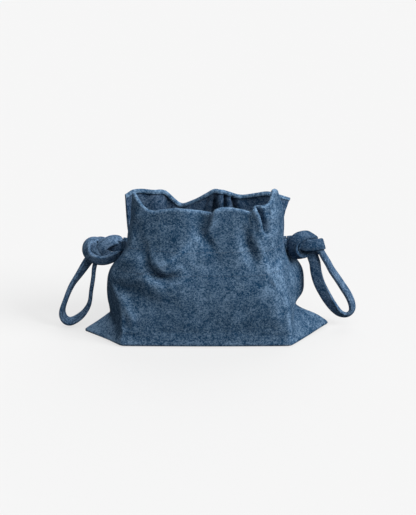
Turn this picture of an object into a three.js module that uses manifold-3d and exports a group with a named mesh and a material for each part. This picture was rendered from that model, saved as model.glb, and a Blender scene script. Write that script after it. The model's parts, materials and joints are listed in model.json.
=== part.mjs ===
// A denim drawstring pouch: two panels sewn at the sides and the base, a casing behind the rim,
// and two fabric drawcords whose doubled ends are knotted into hanging loops.
// Millimetres, +Z up, the front faces -Y, the origin lies under the middle of the base.

import * as THREE from "three";
import { mergeVertices } from "three/addons/utils/BufferGeometryUtils.js";
import Module from "manifold-3d";

const wasm = await Module();
wasm.setup();

// Cloth and thread
const CLOTH = 1.4;
const FIT = 0.3;
const SEAM_ALLOWANCE = 6;
const THREAD = 0.8;

// The bag's outer form
const EAR_WIDTH = 250;
const BASE_DEPTH = 114;
const HEIGHT = 148;
const WAIST_HEIGHT = 20;
const BELLY_HEIGHT = 50;
const BELLY_WIDTH = 204;
const CASING_WIDTH = 168;

// Drawcords and the casing that holds them
const CORD_WIDTH = 9;
const CORD_THICK = 6;
const CORD_EASE = 2;
const CASING_EASE = 1.7;
const CASING_LOW = 77;
const FACING_HEM = 8;
const SLIT_EASE = 5;
const RUN_TUCK = 1.5;

// Knots and loops, measured from the slits
const LEFT_KNOT_REACH = 25;
const RIGHT_KNOT_REACH = 22;
const LEFT_KNOT_HEIGHT = 84.5;
const RIGHT_KNOT_HEIGHT = 92;
const LEAD_HANDLE = 5;

// Fineness of the lofts and tubes
const HALF_STEPS = 28;
const TURN_STEPS = 8;
const RING_STEP = 14;
const RUN_POINTS = 25;
const RUN_STEPS = 26;
const LEAD_STEPS = 6;
const BIGHT_STEPS = 12;
const LOOP_STEPS = 36;
const KNOT_PARTS = 4;
const KNOT_STEPS = 7;
const KNUCKLE_SIDES = 12;
const THREAD_SIDES = 6;

// Values that follow from those above
const SEAM_GAP = FIT;
const CASING_HEIGHT = 2 * CORD_WIDTH + 3 * CORD_EASE;
const CASING_TOP = CASING_LOW + CASING_HEIGHT;
const LOWER_LANE = CASING_LOW + CORD_EASE + CORD_WIDTH / 2;
const UPPER_LANE = CASING_TOP - CORD_EASE - CORD_WIDTH / 2;
const SLIT_HALF = CORD_THICK + SLIT_EASE;
const RUN_INSET = CLOTH + CASING_EASE + CORD_THICK / 2;
const RUN_END = SLIT_HALF - RUN_TUCK;
const STRAND_SPACING = CORD_THICK + CORD_EASE;
const KNOT_SPACING = CORD_THICK - FIT;
const FACING_LOW = CASING_LOW - FACING_HEM;
const FRONT = -1;
const BACK = 1;
const LEFT = -1;
const RIGHT = 1;

// Sections of the bag from the floor to the rim. Each panel has its reach to the left and right seams
// and the width of its turn from the flat to the seam, as shares of the section's width, its depth as a share
// of the base's, and the roundness of the turn.
const PANEL_VALUES = ["left", "right", "turn", "depth", "round"];
const STATIONS = [
  {
    height: 0, width: EAR_WIDTH,
    front: [0.496, 0.504, 0.155, 0.487, 1], back: [0.496, 0.504, 0.155, 0.495, 1],
  },
  {
    height: 0.8 * WAIST_HEIGHT, width: EAR_WIDTH,
    front: [0.42, 0.448, 0.09, 0.495, 1.1], back: [0.42, 0.448, 0.105, 0.495, 0.9],
  },
  {
    height: 1.2 * WAIST_HEIGHT, width: BELLY_WIDTH,
    front: [0.505, 0.488, 0.085, 0.5, 1.25], back: [0.505, 0.488, 0.088, 0.491, 1.25],
  },
  {
    height: 0.68 * BELLY_HEIGHT, width: BELLY_WIDTH,
    front: [0.51, 0.486, 0.1, 0.5, 1.45], back: [0.51, 0.486, 0.115, 0.482, 1.6],
  },
  {
    height: BELLY_HEIGHT, width: BELLY_WIDTH,
    front: [0.51, 0.492, 0.2, 0.5, 1.75], back: [0.51, 0.492, 0.176, 0.456, 1.75],
  },
  {
    height: (BELLY_HEIGHT + CASING_LOW) / 2, width: BELLY_WIDTH,
    front: [0.5, 0.49, 0.235, 0.491, 1.8], back: [0.5, 0.49, 0.206, 0.417, 1.8],
  },
  {
    height: CASING_LOW, width: CASING_WIDTH,
    front: [0.524, 0.534, 0.286, 0.469, 2], back: [0.524, 0.534, 0.268, 0.342, 1.75],
  },
  {
    height: (CASING_LOW + CASING_TOP) / 2, width: CASING_WIDTH,
    front: [0.512, 0.5, 0.268, 0.447, 1.8], back: [0.512, 0.5, 0.268, 0.312, 1.7],
  },
  {
    height: CASING_TOP, width: CASING_WIDTH,
    front: [0.5, 0.485, 0.255, 0.434, 1.75], back: [0.5, 0.485, 0.25, 0.288, 1.7],
  },
  {
    height: (CASING_TOP + HEIGHT) / 2, width: CASING_WIDTH,
    front: [0.473, 0.458, 0.25, 0.417, 1.7], back: [0.497, 0.488, 0.25, 0.219, 1.6],
  },
  {
    height: HEIGHT, width: CASING_WIDTH,
    front: [0.47, 0.417, 0.214, 0.4, 1.55], back: [0.548, 0.548, 0.327, 0.208, 1.3],
  },
];

// Main folds of the panels, each along a line of two places in x and z.
// A positive depth stands out of the bag.
const FOLDS = {
  front: [
    { from: [-50, 86], to: [-13, 111], width: 13, depth: 4 },
    { from: [-8, 96], to: [2, 82], width: 14, depth: 3 },
    { from: [-92, 68], to: [-61, 74], width: 11, depth: 2.5 },
    { from: [-10, 146], to: [-6, 122], width: 9, depth: -3.5 },
    { from: [15, 146], to: [9, 122], width: 8, depth: 2.5 },
    { from: [55, 148], to: [57, 128], width: 8, depth: -5 },
    { from: [63, 128], to: [64, 104], width: 10, depth: 3.5 },
    { from: [43, 116], to: [53, 92], width: 10, depth: -3.5 },
    { from: [53, 72], to: [52, 32], width: 14, depth: -2 },
  ],
  back: [
    { from: [17, 150], to: [17, 112], width: 8, depth: -2.5 },
    { from: [30, 148], to: [31, 110], width: 8, depth: 4.5 },
    { from: [-42, 148], to: [-38, 108], width: 9, depth: 3 },
    { from: [-2, 148], to: [-4, 126], width: 14, depth: -2.5 },
    { from: [50, 84], to: [14, 60], width: 15, depth: -3 },
    { from: [-58, 82], to: [-24, 56], width: 15, depth: 3 },
    { from: [61, 66], to: [64, 34], width: 13, depth: -2 },
  ],
};

// Line of the rim across each panel: places in x and how far they lie over the bag's height
const RIMS = {
  front: [
    [-75, 1], [-67, -5], [-60, -9], [-46, -6], [-28, -3.5], [-1, -7], [7, -8], [14, -4],
    [21, -2.5], [38, -5], [45, -7.5], [57, -4.5], [64, -1], [67, 5],
  ],
  back: [
    [-84, -4], [-76, 0], [-59, -1], [-43, -4], [-27, -18], [-12, -13], [-1, -5], [10, 1.5],
    [25, -5], [36, -8.5], [50, -6], [64, -2.5], [86, -6],
  ],
};

// Knot of the left cord, doubled: the middle of the two strands and the side that the outer strand lies on,
// measured from the knot's centre with +X towards the bag. It is an overhand knot drawn snug.
const KNOT_LEAD_HEIGHT = 1;
const KNOT_START = 22;
const KNOT_HEART = [38, 10, 13];
const KNOT_ROUTE = [
  { middle: [8, 0, 1], beside: [0, -1, 0] },
  { middle: [-4, 1, 3], beside: [0, -0.8, 0.6] },
  { middle: [-13, -1, 4], beside: [0, -0.3, 0.95] },
  { middle: [-16, -4, -1], beside: [-1, 0, 0] },
  { middle: [-11, -7, -7], beside: [-0.5, 0, -0.85] },
  { middle: [0, -8, -8], beside: [0, 0, -1] },
  { middle: [9, -5, -7], beside: [0.3, 0, -0.95] },
  { middle: [14, 2, -4], beside: [0.8, 0, -0.6] },
  { middle: [14, 7, 4], beside: [1, 0, 0.1] },
  { middle: [11, 4, 9], beside: [0.5, 0, 0.85] },
  { middle: [4, -5, 8], beside: [0, -0.3, 0.95] },
  { middle: [-3, -6, 2], beside: [-0.5, -0.8, 0] },
  { middle: [-7, -1, -4], beside: [-0.9, -0.3, 0] },
];

// Loops below the knots, as points in the plane of the side slits, measured from the knot's centre
const LEFT_LOOP = [
  [-21, -20], [-25, -26], [-33, -38], [-40, -54], [-43, -67], [-40, -76], [-34, -79],
  [-27, -77], [-20, -70], [-15, -58], [-12.5, -43], [-10, -29], [-9, -20],
];
const RIGHT_LOOP = [
  [21, -20], [25, -27.5], [31.5, -37], [37.5, -47], [42.5, -56.5], [45.5, -66], [44, -73], [39, -76],
  [32.5, -73.5], [26, -66], [18.5, -54], [12.5, -42], [9, -30], [7.5, -20],
];

// Form of the bag

function curveOfStations(panel) {
  const rows = STATIONS.map(({ width, [panel]: [left, right, turn, depth, round] }) => [
    left * width, right * width, turn * width, depth * BASE_DEPTH, round,
  ]);
  return new THREE.CubicInterpolant(STATIONS.map(({ height }) => height), rows.flat(), PANEL_VALUES.length);
}

function curveOfRim(panel) {
  const places = RIMS[panel];
  return new THREE.LinearInterpolant(places.map(([across]) => across), places.map(([, up]) => up), 1);
}

const formCurves = { [FRONT]: curveOfStations("front"), [BACK]: curveOfStations("back") };
const rimCurves = { [FRONT]: curveOfRim("front"), [BACK]: curveOfRim("back") };
const foldsOf = { [FRONT]: FOLDS.front, [BACK]: FOLDS.back };

// Section of one panel at a height
function formAt(height, side) {
  const values = formCurves[side].evaluate(height);
  return Object.fromEntries(PANEL_VALUES.map((name, index) => [name, values[index]]));
}

// How far the folds lift a panel at a place on it
function foldLift(side, across, height) {
  const place = new THREE.Vector3(across, 0, height);
  const nearest = new THREE.Vector3();
  return foldsOf[side].reduce((lift, { from, to, width, depth }) => {
    const line = new THREE.Line3(new THREE.Vector3(from[0], 0, from[1]), new THREE.Vector3(to[0], 0, to[1]));
    const away = line.closestPointToPoint(place, true, nearest).distanceTo(place) / width;
    return lift + depth * Math.exp(-away * away);
  }, 0);
}

// Place across a panel, drawn in by an inset, for a step on the way from its left seam to its right one,
// and the share of its depth there: the first and the last steps make the turns
function placeAt(section, step, inset) {
  const hand = step < HALF_STEPS / 2 ? LEFT : RIGHT;
  const fromSeam = Math.min(step, HALF_STEPS - step);
  const reach = (hand === LEFT ? section.left : section.right) - inset;
  if (fromSeam < TURN_STEPS) {
    const angle = Math.PI / 2 * fromSeam / TURN_STEPS;
    const power = 2 / section.round;
    const across = hand * (reach - section.turn * (1 - Math.cos(angle) ** power));
    return { across, share: Math.sin(angle) ** power };
  }
  const left = section.turn + inset - section.left;
  const right = section.right - inset - section.turn;
  const along = (step - TURN_STEPS) / (HALF_STEPS - 2 * TURN_STEPS);
  return { across: left + (right - left) * along, share: 1 };
}

function panelPoint(side, height, step, inset) {
  const section = formAt(height, side);
  const lift = foldLift(side, placeAt(section, step, 0).across, height);
  const { across, share } = placeAt(section, step, inset);
  return new THREE.Vector3(across, side * (section.depth - inset + lift) * share, height);
}

// Steps from the seam to where a panel, drawn in by an inset, is a given distance from the seam plane
function stepsTo(side, height, distance, inset) {
  const section = formAt(height, side);
  const share = distance / (section.depth - inset);
  return TURN_STEPS * Math.asin(share ** (section.round / 2)) / (Math.PI / 2);
}

// Height of a place on the panel: above the casing the rows follow the rim
function riseAt(side, across, height) {
  if (height <= CASING_TOP) {
    return height;
  }
  const rim = HEIGHT + rimCurves[side].evaluate(across)[0];
  return CASING_TOP + (height - CASING_TOP) * (rim - CASING_TOP) / (HEIGHT - CASING_TOP);
}

// Ring round the bag at a height, or carried straight up or down to a flat level
function ringAt(height, inset, level) {
  const points = [];
  for (const side of [FRONT, BACK]) {
    const section = formAt(height, side);
    for (let count = 0; count < HALF_STEPS; count += 1) {
      const step = side === FRONT ? count : HALF_STEPS - count;
      const point = panelPoint(side, height, step, inset);
      point.z = level ?? riseAt(side, placeAt(section, step, 0).across, height);
      points.push(point);
    }
  }
  return points;
}

// Solid through a stack of rings, closed at each end by a ladder from the front of the ring to its back
function loft(rings) {
  const size = rings[0].length;
  const faces = [];
  rings.slice(1).forEach((ring, below) => {
    for (let step = 0; step < size; step += 1) {
      const a = below * size + step;
      const b = below * size + (step + 1) % size;
      faces.push(a, b, b + size, a, b + size, a + size);
    }
  });
  const last = (rings.length - 1) * size;
  for (let step = 0; step < size / 2; step += 1) {
    const a = step;
    const b = step + 1;
    const c = size - step - 1;
    const d = (size - step) % size;
    if (b !== c) {
      faces.push(a, c, b, last + a, last + b, last + c);
    }
    if (a !== d) {
      faces.push(a, d, c, last + a, last + c, last + d);
    }
  }
  const geometry = new THREE.BufferGeometry().setFromPoints(rings.flat());
  geometry.setIndex(faces);
  return geometry;
}

// Joining and cutting

function solid(geometry) {
  const bare = geometry.clone();
  bare.deleteAttribute("normal");
  bare.deleteAttribute("uv");
  const merged = mergeVertices(bare, 1e-4);
  return new wasm.Manifold(new wasm.Mesh({
    numProp: 3,
    vertProperties: new Float32Array(merged.attributes.position.array),
    triVerts: new Uint32Array(merged.index.array),
  }));
}

function geometryOf(body) {
  const mesh = body.getMesh();
  const geometry = new THREE.BufferGeometry();
  geometry.setAttribute("position", new THREE.BufferAttribute(mesh.vertProperties, 3));
  geometry.setIndex(new THREE.BufferAttribute(mesh.triVerts, 1));
  geometry.computeVertexNormals();
  return geometry;
}

function block(low, high) {
  const size = new THREE.Vector3().subVectors(high, low);
  const middle = new THREE.Vector3().addVectors(low, high).divideScalar(2);
  return solid(new THREE.BoxGeometry(size.x, size.y, size.z).translate(middle.x, middle.y, middle.z));
}

// Room that holds the whole bag, for the blocks that cut it
const ROOM = EAR_WIDTH + BASE_DEPTH + HEIGHT;

function halfOf(body, side) {
  const near = side === FRONT ? -ROOM : SEAM_GAP / 2;
  const far = side === FRONT ? -SEAM_GAP / 2 : ROOM;
  return body.intersect(block(new THREE.Vector3(-ROOM, near, -ROOM), new THREE.Vector3(ROOM, far, ROOM)));
}

const slit = block(
  new THREE.Vector3(-ROOM, -SLIT_HALF, CASING_LOW),
  new THREE.Vector3(ROOM, SLIT_HALF, ROOM),
);

// Heights of the rings above the floor: even steps between the stations, with the cords' lanes
function ringLevels() {
  const levels = [LOWER_LANE, UPPER_LANE];
  STATIONS.slice(1).forEach((station, index) => {
    const low = STATIONS[index].height;
    const steps = Math.ceil((station.height - low) / RING_STEP);
    for (let step = 1; step <= steps; step += 1) {
      levels.push(low + (station.height - low) * step / steps);
    }
  });
  return levels.sort((a, b) => a - b);
}

// Bag with its form drawn in by an inset, closed at the floor.
// Where a top is given, it runs up to it past the rim.
function bag(inset, top) {
  const above = ringLevels().filter((level) => level > inset);
  const rings = [inset, ...above].map((level) => ringAt(level, inset));
  if (top) {
    rings.push(ringAt(HEIGHT, inset, top));
  }
  return solid(loft(rings));
}

// Core of the facing, which hugs the panel above and below the casing and stands off by the cord's thickness
// within it. A core that cuts runs past both ends.
function facingCore(inset, past) {
  const near = CLOTH + FIT + inset;
  const off = CLOTH + CASING_EASE + CORD_THICK + CASING_EASE + FIT + inset;
  const middle = (CASING_LOW + CASING_TOP) / 2;
  const frill = ringLevels().filter((level) => level > CASING_TOP + CORD_EASE);
  const rings = [
    ringAt(FACING_LOW, near, FACING_LOW - past),
    ringAt(CASING_LOW - CORD_EASE, near),
    ...[CASING_LOW, LOWER_LANE, middle, UPPER_LANE, CASING_TOP].map((level) => ringAt(level, off)),
    ringAt(CASING_TOP + CORD_EASE, near),
    ...frill.map((level) => ringAt(level, near)),
  ];
  if (past) {
    rings.push(ringAt(HEIGHT, near, 2 * HEIGHT));
  }
  return solid(loft(rings));
}

// Cords and threads

function roundSection(diameter, sides) {
  const shape = new THREE.Shape();
  for (let side = 0; side < sides; side += 1) {
    const angle = 2 * Math.PI * side / sides;
    const place = [diameter / 2 * Math.cos(angle), diameter / 2 * Math.sin(angle)];
    if (side === 0) {
      shape.moveTo(...place);
    } else {
      shape.lineTo(...place);
    }
  }
  shape.closePath();
  return shape;
}

// Folded strap with its edges rounded off
function strapSection() {
  const flat = CORD_WIDTH / 2 - CORD_THICK / 4;
  const edge = CORD_THICK / 4;
  const outline = [
    [CORD_WIDTH / 2, -edge], [CORD_WIDTH / 2, edge], [flat, CORD_THICK / 2], [-flat, CORD_THICK / 2],
    [-CORD_WIDTH / 2, edge], [-CORD_WIDTH / 2, -edge], [-flat, -CORD_THICK / 2], [flat, -CORD_THICK / 2],
  ];
  return new THREE.Shape(outline.map(([x, y]) => new THREE.Vector2(x, y)));
}

function tube(section, path, steps) {
  return new THREE.ExtrudeGeometry(section, { steps, extrudePath: path, bevelEnabled: false });
}

// Points along a panel at one height, from one slit to the other
function panelRow(height, side, inset, endDistance) {
  const first = stepsTo(side, height, endDistance, inset);
  const points = [];
  for (let count = 0; count < RUN_POINTS; count += 1) {
    const step = first + (HALF_STEPS - 2 * first) * count / (RUN_POINTS - 1);
    points.push(panelPoint(side, height, step, inset));
  }
  return new THREE.CatmullRomCurve3(points);
}

function runPath(lane, side) {
  return panelRow(lane, side, RUN_INSET, RUN_END);
}

// End of a run at a slit, with the direction in which the cord leaves the casing there
function runEnd(lane, side, hand) {
  const path = runPath(lane, side);
  const along = hand === LEFT ? 0 : 1;
  const direction = path.getTangent(along).multiplyScalar(hand);
  const point = path.getPoint(along).addScaledVector(direction, FIT);
  return { point, direction };
}

function bightPath(lane, hand) {
  const section = formAt(lane, FRONT);
  const reach = hand === LEFT ? section.left : section.right;
  const front = runEnd(lane, FRONT, hand);
  const back = runEnd(lane, BACK, hand);
  const turn = new THREE.Vector3(hand * (reach - RUN_INSET), 0, lane);
  return new THREE.CatmullRomCurve3([
    front.point,
    front.point.clone().addScaledVector(front.direction, CORD_THICK / 2),
    turn,
    back.point.clone().addScaledVector(back.direction, CORD_THICK / 2),
    back.point,
  ]);
}

function knotCentre(hand) {
  const height = hand === LEFT ? LEFT_KNOT_HEIGHT : RIGHT_KNOT_HEIGHT;
  const reach = hand === LEFT ? LEFT_KNOT_REACH : RIGHT_KNOT_REACH;
  return new THREE.Vector3(hand * (CASING_WIDTH / 2 + reach), 0, height);
}

function leadPath(lane, side, hand) {
  const start = runEnd(lane, side, hand);
  const outward = new THREE.Vector3(hand, 0, 0);
  const end = knotCentre(hand).add(new THREE.Vector3(
    -hand * KNOT_START,
    side * STRAND_SPACING / 2,
    KNOT_LEAD_HEIGHT,
  ));
  return new THREE.CubicBezierCurve3(
    start.point,
    start.point.clone().addScaledVector(start.direction, LEAD_HANDLE),
    end.clone().addScaledVector(outward, -LEAD_HANDLE),
    end,
  );
}

// Place of a loop's end in the knot's exit, where the loop swings about an axis along X
function loopEnd(loop, index) {
  return new THREE.Vector3(loop[index][0], 0, loop[index][1]);
}

// The two ends of a loop lie side by side on its swing axis
function loopRoute(loop) {
  const points = loop.map(([across, up]) => new THREE.Vector3(across, 0, up));
  return new THREE.CatmullRomCurve3(points);
}

function strandPath(hand, side, loop) {
  const turned = hand === LEFT ? 1 : -1;
  const offset = side * turned * KNOT_SPACING / 2;
  const points = KNOT_ROUTE.map(({ middle, beside }) => {
    const aside = new THREE.Vector3(...beside).normalize();
    const place = new THREE.Vector3(...middle).addScaledVector(aside, -offset);
    return place.multiply(new THREE.Vector3(turned, turned, 1));
  });
  const start = new THREE.Vector3(-hand * (KNOT_START - FIT), side * STRAND_SPACING / 2, KNOT_LEAD_HEIGHT);
  const outer = (side === FRONT) === (hand === LEFT);
  const end = loopEnd(loop, outer ? 0 : loop.length - 1);
  end.z += CORD_WIDTH / 2 + 2 * FIT;
  const upright = end.clone();
  upright.z += CORD_THICK;
  return new THREE.CatmullRomCurve3([start, ...points, upright, end]);
}

// Both strands of a knot, welded where they press on each other round its heart
function knotBody(hand, loop) {
  const section = strapSection();
  const heart = new THREE.SphereGeometry(1 / 2, KNUCKLE_SIDES, KNUCKLE_SIDES / 2).scale(...KNOT_HEART);
  let body = solid(heart);
  for (const side of [FRONT, BACK]) {
    const path = strandPath(hand, side, loop);
    for (let part = 0; part < KNOT_PARTS; part += 1) {
      const points = [];
      for (let step = 0; step <= KNOT_STEPS; step += 1) {
        points.push(path.getPoint((part + step / KNOT_STEPS) / KNOT_PARTS));
      }
      const piece = solid(tube(section, new THREE.CatmullRomCurve3(points), KNOT_STEPS));
      body = body.add(piece);
    }
  }
  return geometryOf(body);
}

function loopBody(loop) {
  const route = loopRoute(loop);
  let body = solid(tube(strapSection(), route, LOOP_STEPS));
  for (const index of [0, loop.length - 1]) {
    const place = loopEnd(loop, index);
    const knuckle = new THREE.CylinderGeometry(CORD_WIDTH / 2, CORD_WIDTH / 2, CORD_THICK, KNUCKLE_SIDES);
    knuckle.rotateZ(Math.PI / 2).translate(place.x, place.y, place.z);
    body = body.add(solid(knuckle));
  }
  return geometryOf(body);
}

// Materials
const denim = new THREE.MeshStandardMaterial({ color: 0x3c546a, roughness: 0.9, metalness: 0 });
const facingDenim = new THREE.MeshStandardMaterial({ color: 0x364b60, roughness: 0.92, metalness: 0 });
const cordDenim = new THREE.MeshStandardMaterial({ color: 0x3a5167, roughness: 0.9, metalness: 0 });
const threadCotton = new THREE.MeshStandardMaterial({ color: 0x2f4256, roughness: 0.8, metalness: 0 });

// Assembly
const pouch = new THREE.Group();

function place(name, geometry, material, parent = pouch) {
  const mesh = new THREE.Mesh(geometry, material);
  mesh.name = name;
  parent.add(mesh);
  return mesh;
}

// Panels and facings
const SIDES = { front: FRONT, back: BACK };
const HANDS = { left: LEFT, right: RIGHT };
const shell = bag(0).subtract(bag(CLOTH, 2 * HEIGHT)).subtract(slit);
const lining = facingCore(0, 0)
  .intersect(bag(CLOTH + FIT, 2 * HEIGHT))
  .subtract(facingCore(CLOTH, CLOTH))
  .subtract(slit);
for (const [name, side] of Object.entries(SIDES)) {
  place(`${name}_panel`, geometryOf(halfOf(shell, side)), denim);
  place(`${name}_facing`, geometryOf(halfOf(lining, side)), facingDenim);
}

// Bound seam allowances, which stand in the seam plane inside the bag
const allowance = bag(CLOTH + FIT, 2 * HEIGHT)
  .subtract(bag(CLOTH + FIT + SEAM_ALLOWANCE, 3 * HEIGHT))
  .intersect(block(
    new THREE.Vector3(-ROOM, -CLOTH, -ROOM),
    new THREE.Vector3(ROOM, CLOTH, FACING_LOW - FIT),
  ));
const SEAM_CORNER = CASING_WIDTH / 2 - 2 * SEAM_ALLOWANCE;
const seamSpans = {
  left_side_seam: [-ROOM, -SEAM_CORNER - FIT / 2],
  bottom_seam: [-SEAM_CORNER + FIT / 2, SEAM_CORNER - FIT / 2],
  right_side_seam: [SEAM_CORNER + FIT / 2, ROOM],
};
for (const [name, [low, high]] of Object.entries(seamSpans)) {
  const span = block(new THREE.Vector3(low, -ROOM, -ROOM), new THREE.Vector3(high, ROOM, ROOM));
  place(name, geometryOf(allowance.intersect(span)), facingDenim);
}

// Casing stitching, laid on the outside of the panels
const ROWS = { lower: CASING_LOW, upper: CASING_TOP };
for (const [name, side] of Object.entries(SIDES)) {
  for (const [row, height] of Object.entries(ROWS)) {
    const path = panelRow(height, side, -2 * FIT - THREAD / 2, SLIT_HALF + CORD_EASE);
    const thread = tube(roundSection(THREAD, THREAD_SIDES), path, RUN_STEPS);
    place(`${name}_${row}_stitching`, thread, threadCotton);
  }
}

// Drawcords: each runs once round the casing in its own lane and comes out, doubled, at its own side
const LANES = { left: LOWER_LANE, right: UPPER_LANE };
const LOOPS = { left: LEFT_LOOP, right: RIGHT_LOOP };
for (const [cord, hand] of Object.entries(HANDS)) {
  const lane = LANES[cord];
  for (const [name, side] of Object.entries(SIDES)) {
    place(`${cord}_cord_${name}_run`, tube(strapSection(), runPath(lane, side), RUN_STEPS), cordDenim);
    place(`${cord}_${name}_lead`, tube(strapSection(), leadPath(lane, side, hand), LEAD_STEPS), cordDenim);
  }
  place(`${cord}_cord_bight`, tube(strapSection(), bightPath(lane, -hand), BIGHT_STEPS), cordDenim);

  const knotFrame = new THREE.Group();
  knotFrame.position.copy(knotCentre(hand));
  pouch.add(knotFrame);
  place(`${cord}_knot`, knotBody(hand, LOOPS[cord]), cordDenim, knotFrame);
  place(`${cord}_loop`, loopBody(LOOPS[cord]), cordDenim, knotFrame);
}

export default pouch;
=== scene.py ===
"""Soft denim drawstring pouch with knotted strap cords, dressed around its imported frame."""

import json
import math
from bisect import bisect_right
from functools import lru_cache

import bmesh
import bpy
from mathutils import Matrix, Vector, noise
from mathutils.geometry import interpolate_bezier
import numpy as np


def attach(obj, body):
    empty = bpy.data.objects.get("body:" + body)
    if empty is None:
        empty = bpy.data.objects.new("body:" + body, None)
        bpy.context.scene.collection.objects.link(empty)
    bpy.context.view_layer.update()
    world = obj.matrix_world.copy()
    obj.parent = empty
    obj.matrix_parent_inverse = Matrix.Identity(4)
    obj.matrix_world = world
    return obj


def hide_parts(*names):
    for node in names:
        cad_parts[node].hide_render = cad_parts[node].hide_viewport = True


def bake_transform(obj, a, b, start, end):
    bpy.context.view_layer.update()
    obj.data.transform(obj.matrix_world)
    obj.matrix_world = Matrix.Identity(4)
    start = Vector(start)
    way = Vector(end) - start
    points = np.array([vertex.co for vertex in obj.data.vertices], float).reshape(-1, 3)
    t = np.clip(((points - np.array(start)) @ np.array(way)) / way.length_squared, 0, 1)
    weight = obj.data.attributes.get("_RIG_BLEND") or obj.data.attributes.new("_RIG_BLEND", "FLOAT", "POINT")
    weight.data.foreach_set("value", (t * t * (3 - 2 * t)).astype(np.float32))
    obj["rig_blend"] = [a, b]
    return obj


bl_info = {
    "name": "Denim Drawstring Pouch",
    "version": (1, 0, 0),
    "blender": (4, 5, 0),
    "location": "3D View > Sidebar > Pouch",
    "description": "Builds a soft denim pouch, its drawcords and a plain studio",
    "category": "Object",
}

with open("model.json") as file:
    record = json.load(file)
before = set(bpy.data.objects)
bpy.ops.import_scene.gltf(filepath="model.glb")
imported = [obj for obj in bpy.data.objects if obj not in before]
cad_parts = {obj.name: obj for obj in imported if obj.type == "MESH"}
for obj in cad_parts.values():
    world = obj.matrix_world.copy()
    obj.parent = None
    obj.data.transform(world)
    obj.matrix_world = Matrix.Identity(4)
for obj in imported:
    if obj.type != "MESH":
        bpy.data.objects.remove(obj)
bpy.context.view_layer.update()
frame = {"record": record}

MM = 0.001
TINY = 1e-9
FRONT = -1
BACK = 1
LEFT = -1
RIGHT = 1
SIDES = {"front": FRONT, "back": BACK}
HANDS = {"left": LEFT, "right": RIGHT}

# Sections of the bag in millimetres, from the floor to the rim. Each row goes from the left side seam
# over the left ridge, the flat of the panel and the right ridge to the right side seam.
FRONT_SECTIONS = (
    (0, ((-131, -13), (-110, -33), (-88, -55), (-45, -56), (0, -56.4),
        (45, -56), (87, -55), (107, -30), (131, 0))),
    (8, ((-115.5, -9), (-102, -30), (-87, -53), (-44, -55.8), (0, -56.2),
        (44, -55.8), (86, -53), (101, -28), (122, 0))),
    (12, ((-106, -7), (-99, -28), (-86, -52), (-43, -55.6), (0, -56),
        (43, -55.6), (86, -52), (97, -27.5), (117, 0))),
    (16, ((-102, -3), (-96, -27), (-86, -52), (-43, -55.4), (0, -55.9),
        (43, -55.4), (86, -52), (94, -27), (110, 0))),
    (21, ((-102, -1), (-96, -25), (-86, -51), (-43, -55.7), (0, -56.2),
        (43, -55.7), (85, -51), (90, -28), (94, 0))),
    (33, ((-104, 0), (-97, -24), (-86, -50), (-43, -56), (0, -56.8),
        (44, -57), (83, -50), (91, -28), (93, -1))),
    (48, ((-104, 0), (-99, -22), (-89, -44), (-45, -55), (0, -57),
        (46, -57), (79, -49), (90, -28), (94, -2))),
    (62, ((-101, 0), (-101, -15), (-97, -29), (-54, -53), (0, -56),
        (46, -56), (76, -46), (89, -26), (92, -2))),
    (75, ((-89, 0), (-95, -14), (-92, -31), (-53, -51), (0, -54),
        (44, -54), (72, -42), (84, -22), (86, -1))),
    (88, ((-84, -10), (-87, -22), (-82, -37), (-48, -49), (0, -51),
        (42, -51), (67, -38), (78, -21), (81, -7))),
    (100, ((-81, -17), (-80.5, -28), (-75, -37), (-44, -47), (0, -50),
        (40, -49), (64, -39), (76, -21), (79, -6))),
    (115, ((-78, -20), (-77, -29), (-71, -36), (-43, -46), (0, -48),
        (40, -48), (62, -40), (74, -22), (79, -6))),
    (130, ((-76, -21), (-74, -29), (-68, -36), (-42, -44), (0, -47),
        (40, -47), (61, -40), (72.5, -23), (77.5, -7))),
    (148, ((-74, -22), (-70, -29), (-61, -36), (-42, -42), (0, -46),
        (40, -46), (57, -42), (67, -28), (72, -12))),
)
BACK_SECTIONS = (
    (0, ((-131, -13), (-109, 23), (-88, 54), (-45, 56), (0, 56),
        (45, 56), (87, 55), (106, 29), (131, 0))),
    (8, ((-115.5, -9), (-102, 23), (-87, 53), (-44, 56), (0, 56),
        (44, 56), (86, 54), (97, 27), (122, 0))),
    (12, ((-106, -7), (-99, 22.5), (-86, 52.5), (-43, 56), (0, 56),
        (43, 56), (85.5, 53.5), (93.5, 26.5), (117, 0))),
    (16, ((-102, -3), (-97, 22), (-86, 52), (-43, 56), (0, 56),
        (43, 56), (85, 53), (90, 26), (110, 0))),
    (21, ((-102, -1), (-97, 22), (-85, 51), (-43, 55), (0, 56),
        (43, 55), (84, 51), (94, 25), (94, 0))),
    (33, ((-104, 0), (-98, 21), (-85, 48), (-43, 54), (0, 55),
        (43, 54), (83, 49), (102, 20), (93, -1))),
    (48, ((-104, 0), (-99, 19), (-85, 44), (-43, 51), (0, 52),
        (43, 51), (84, 45), (102.5, 17), (94, -2))),
    (62, ((-101, 0), (-99, 16), (-84, 38), (-43, 46), (0, 48),
        (43, 46), (83, 38), (100, 13), (92, -2))),
    (75, ((-89, 0), (-92, 13), (-78, 30), (-42, 38), (0, 39),
        (42, 38), (78, 29), (93, 11), (86, -1))),
    (88, ((-83, 6), (-84, 14), (-72, 25), (-40, 33), (0, 35),
        (40, 33), (71, 24), (86, 12), (81, 6))),
    (100, ((-81, 5), (-81, 12), (-68, 22), (-39, 31), (0, 32),
        (39, 31), (67, 22), (79, 12), (79, 5))),
    (115, ((-82, 4), (-79, 10), (-67, 18), (-38, 26), (0, 27),
        (39, 26), (66, 20), (76, 14), (79, 9))),
    (130, ((-83, 6), (-79, 10), (-67, 16), (-38, 23), (0, 22),
        (38, 23), (66, 20), (76, 17), (82, 15))),
    (148, ((-84, 8), (-76, 12), (-59, 18), (-27, 24), (5, 17),
        (36, 22), (64, 18), (76, 21), (86, 26))),
)
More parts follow.
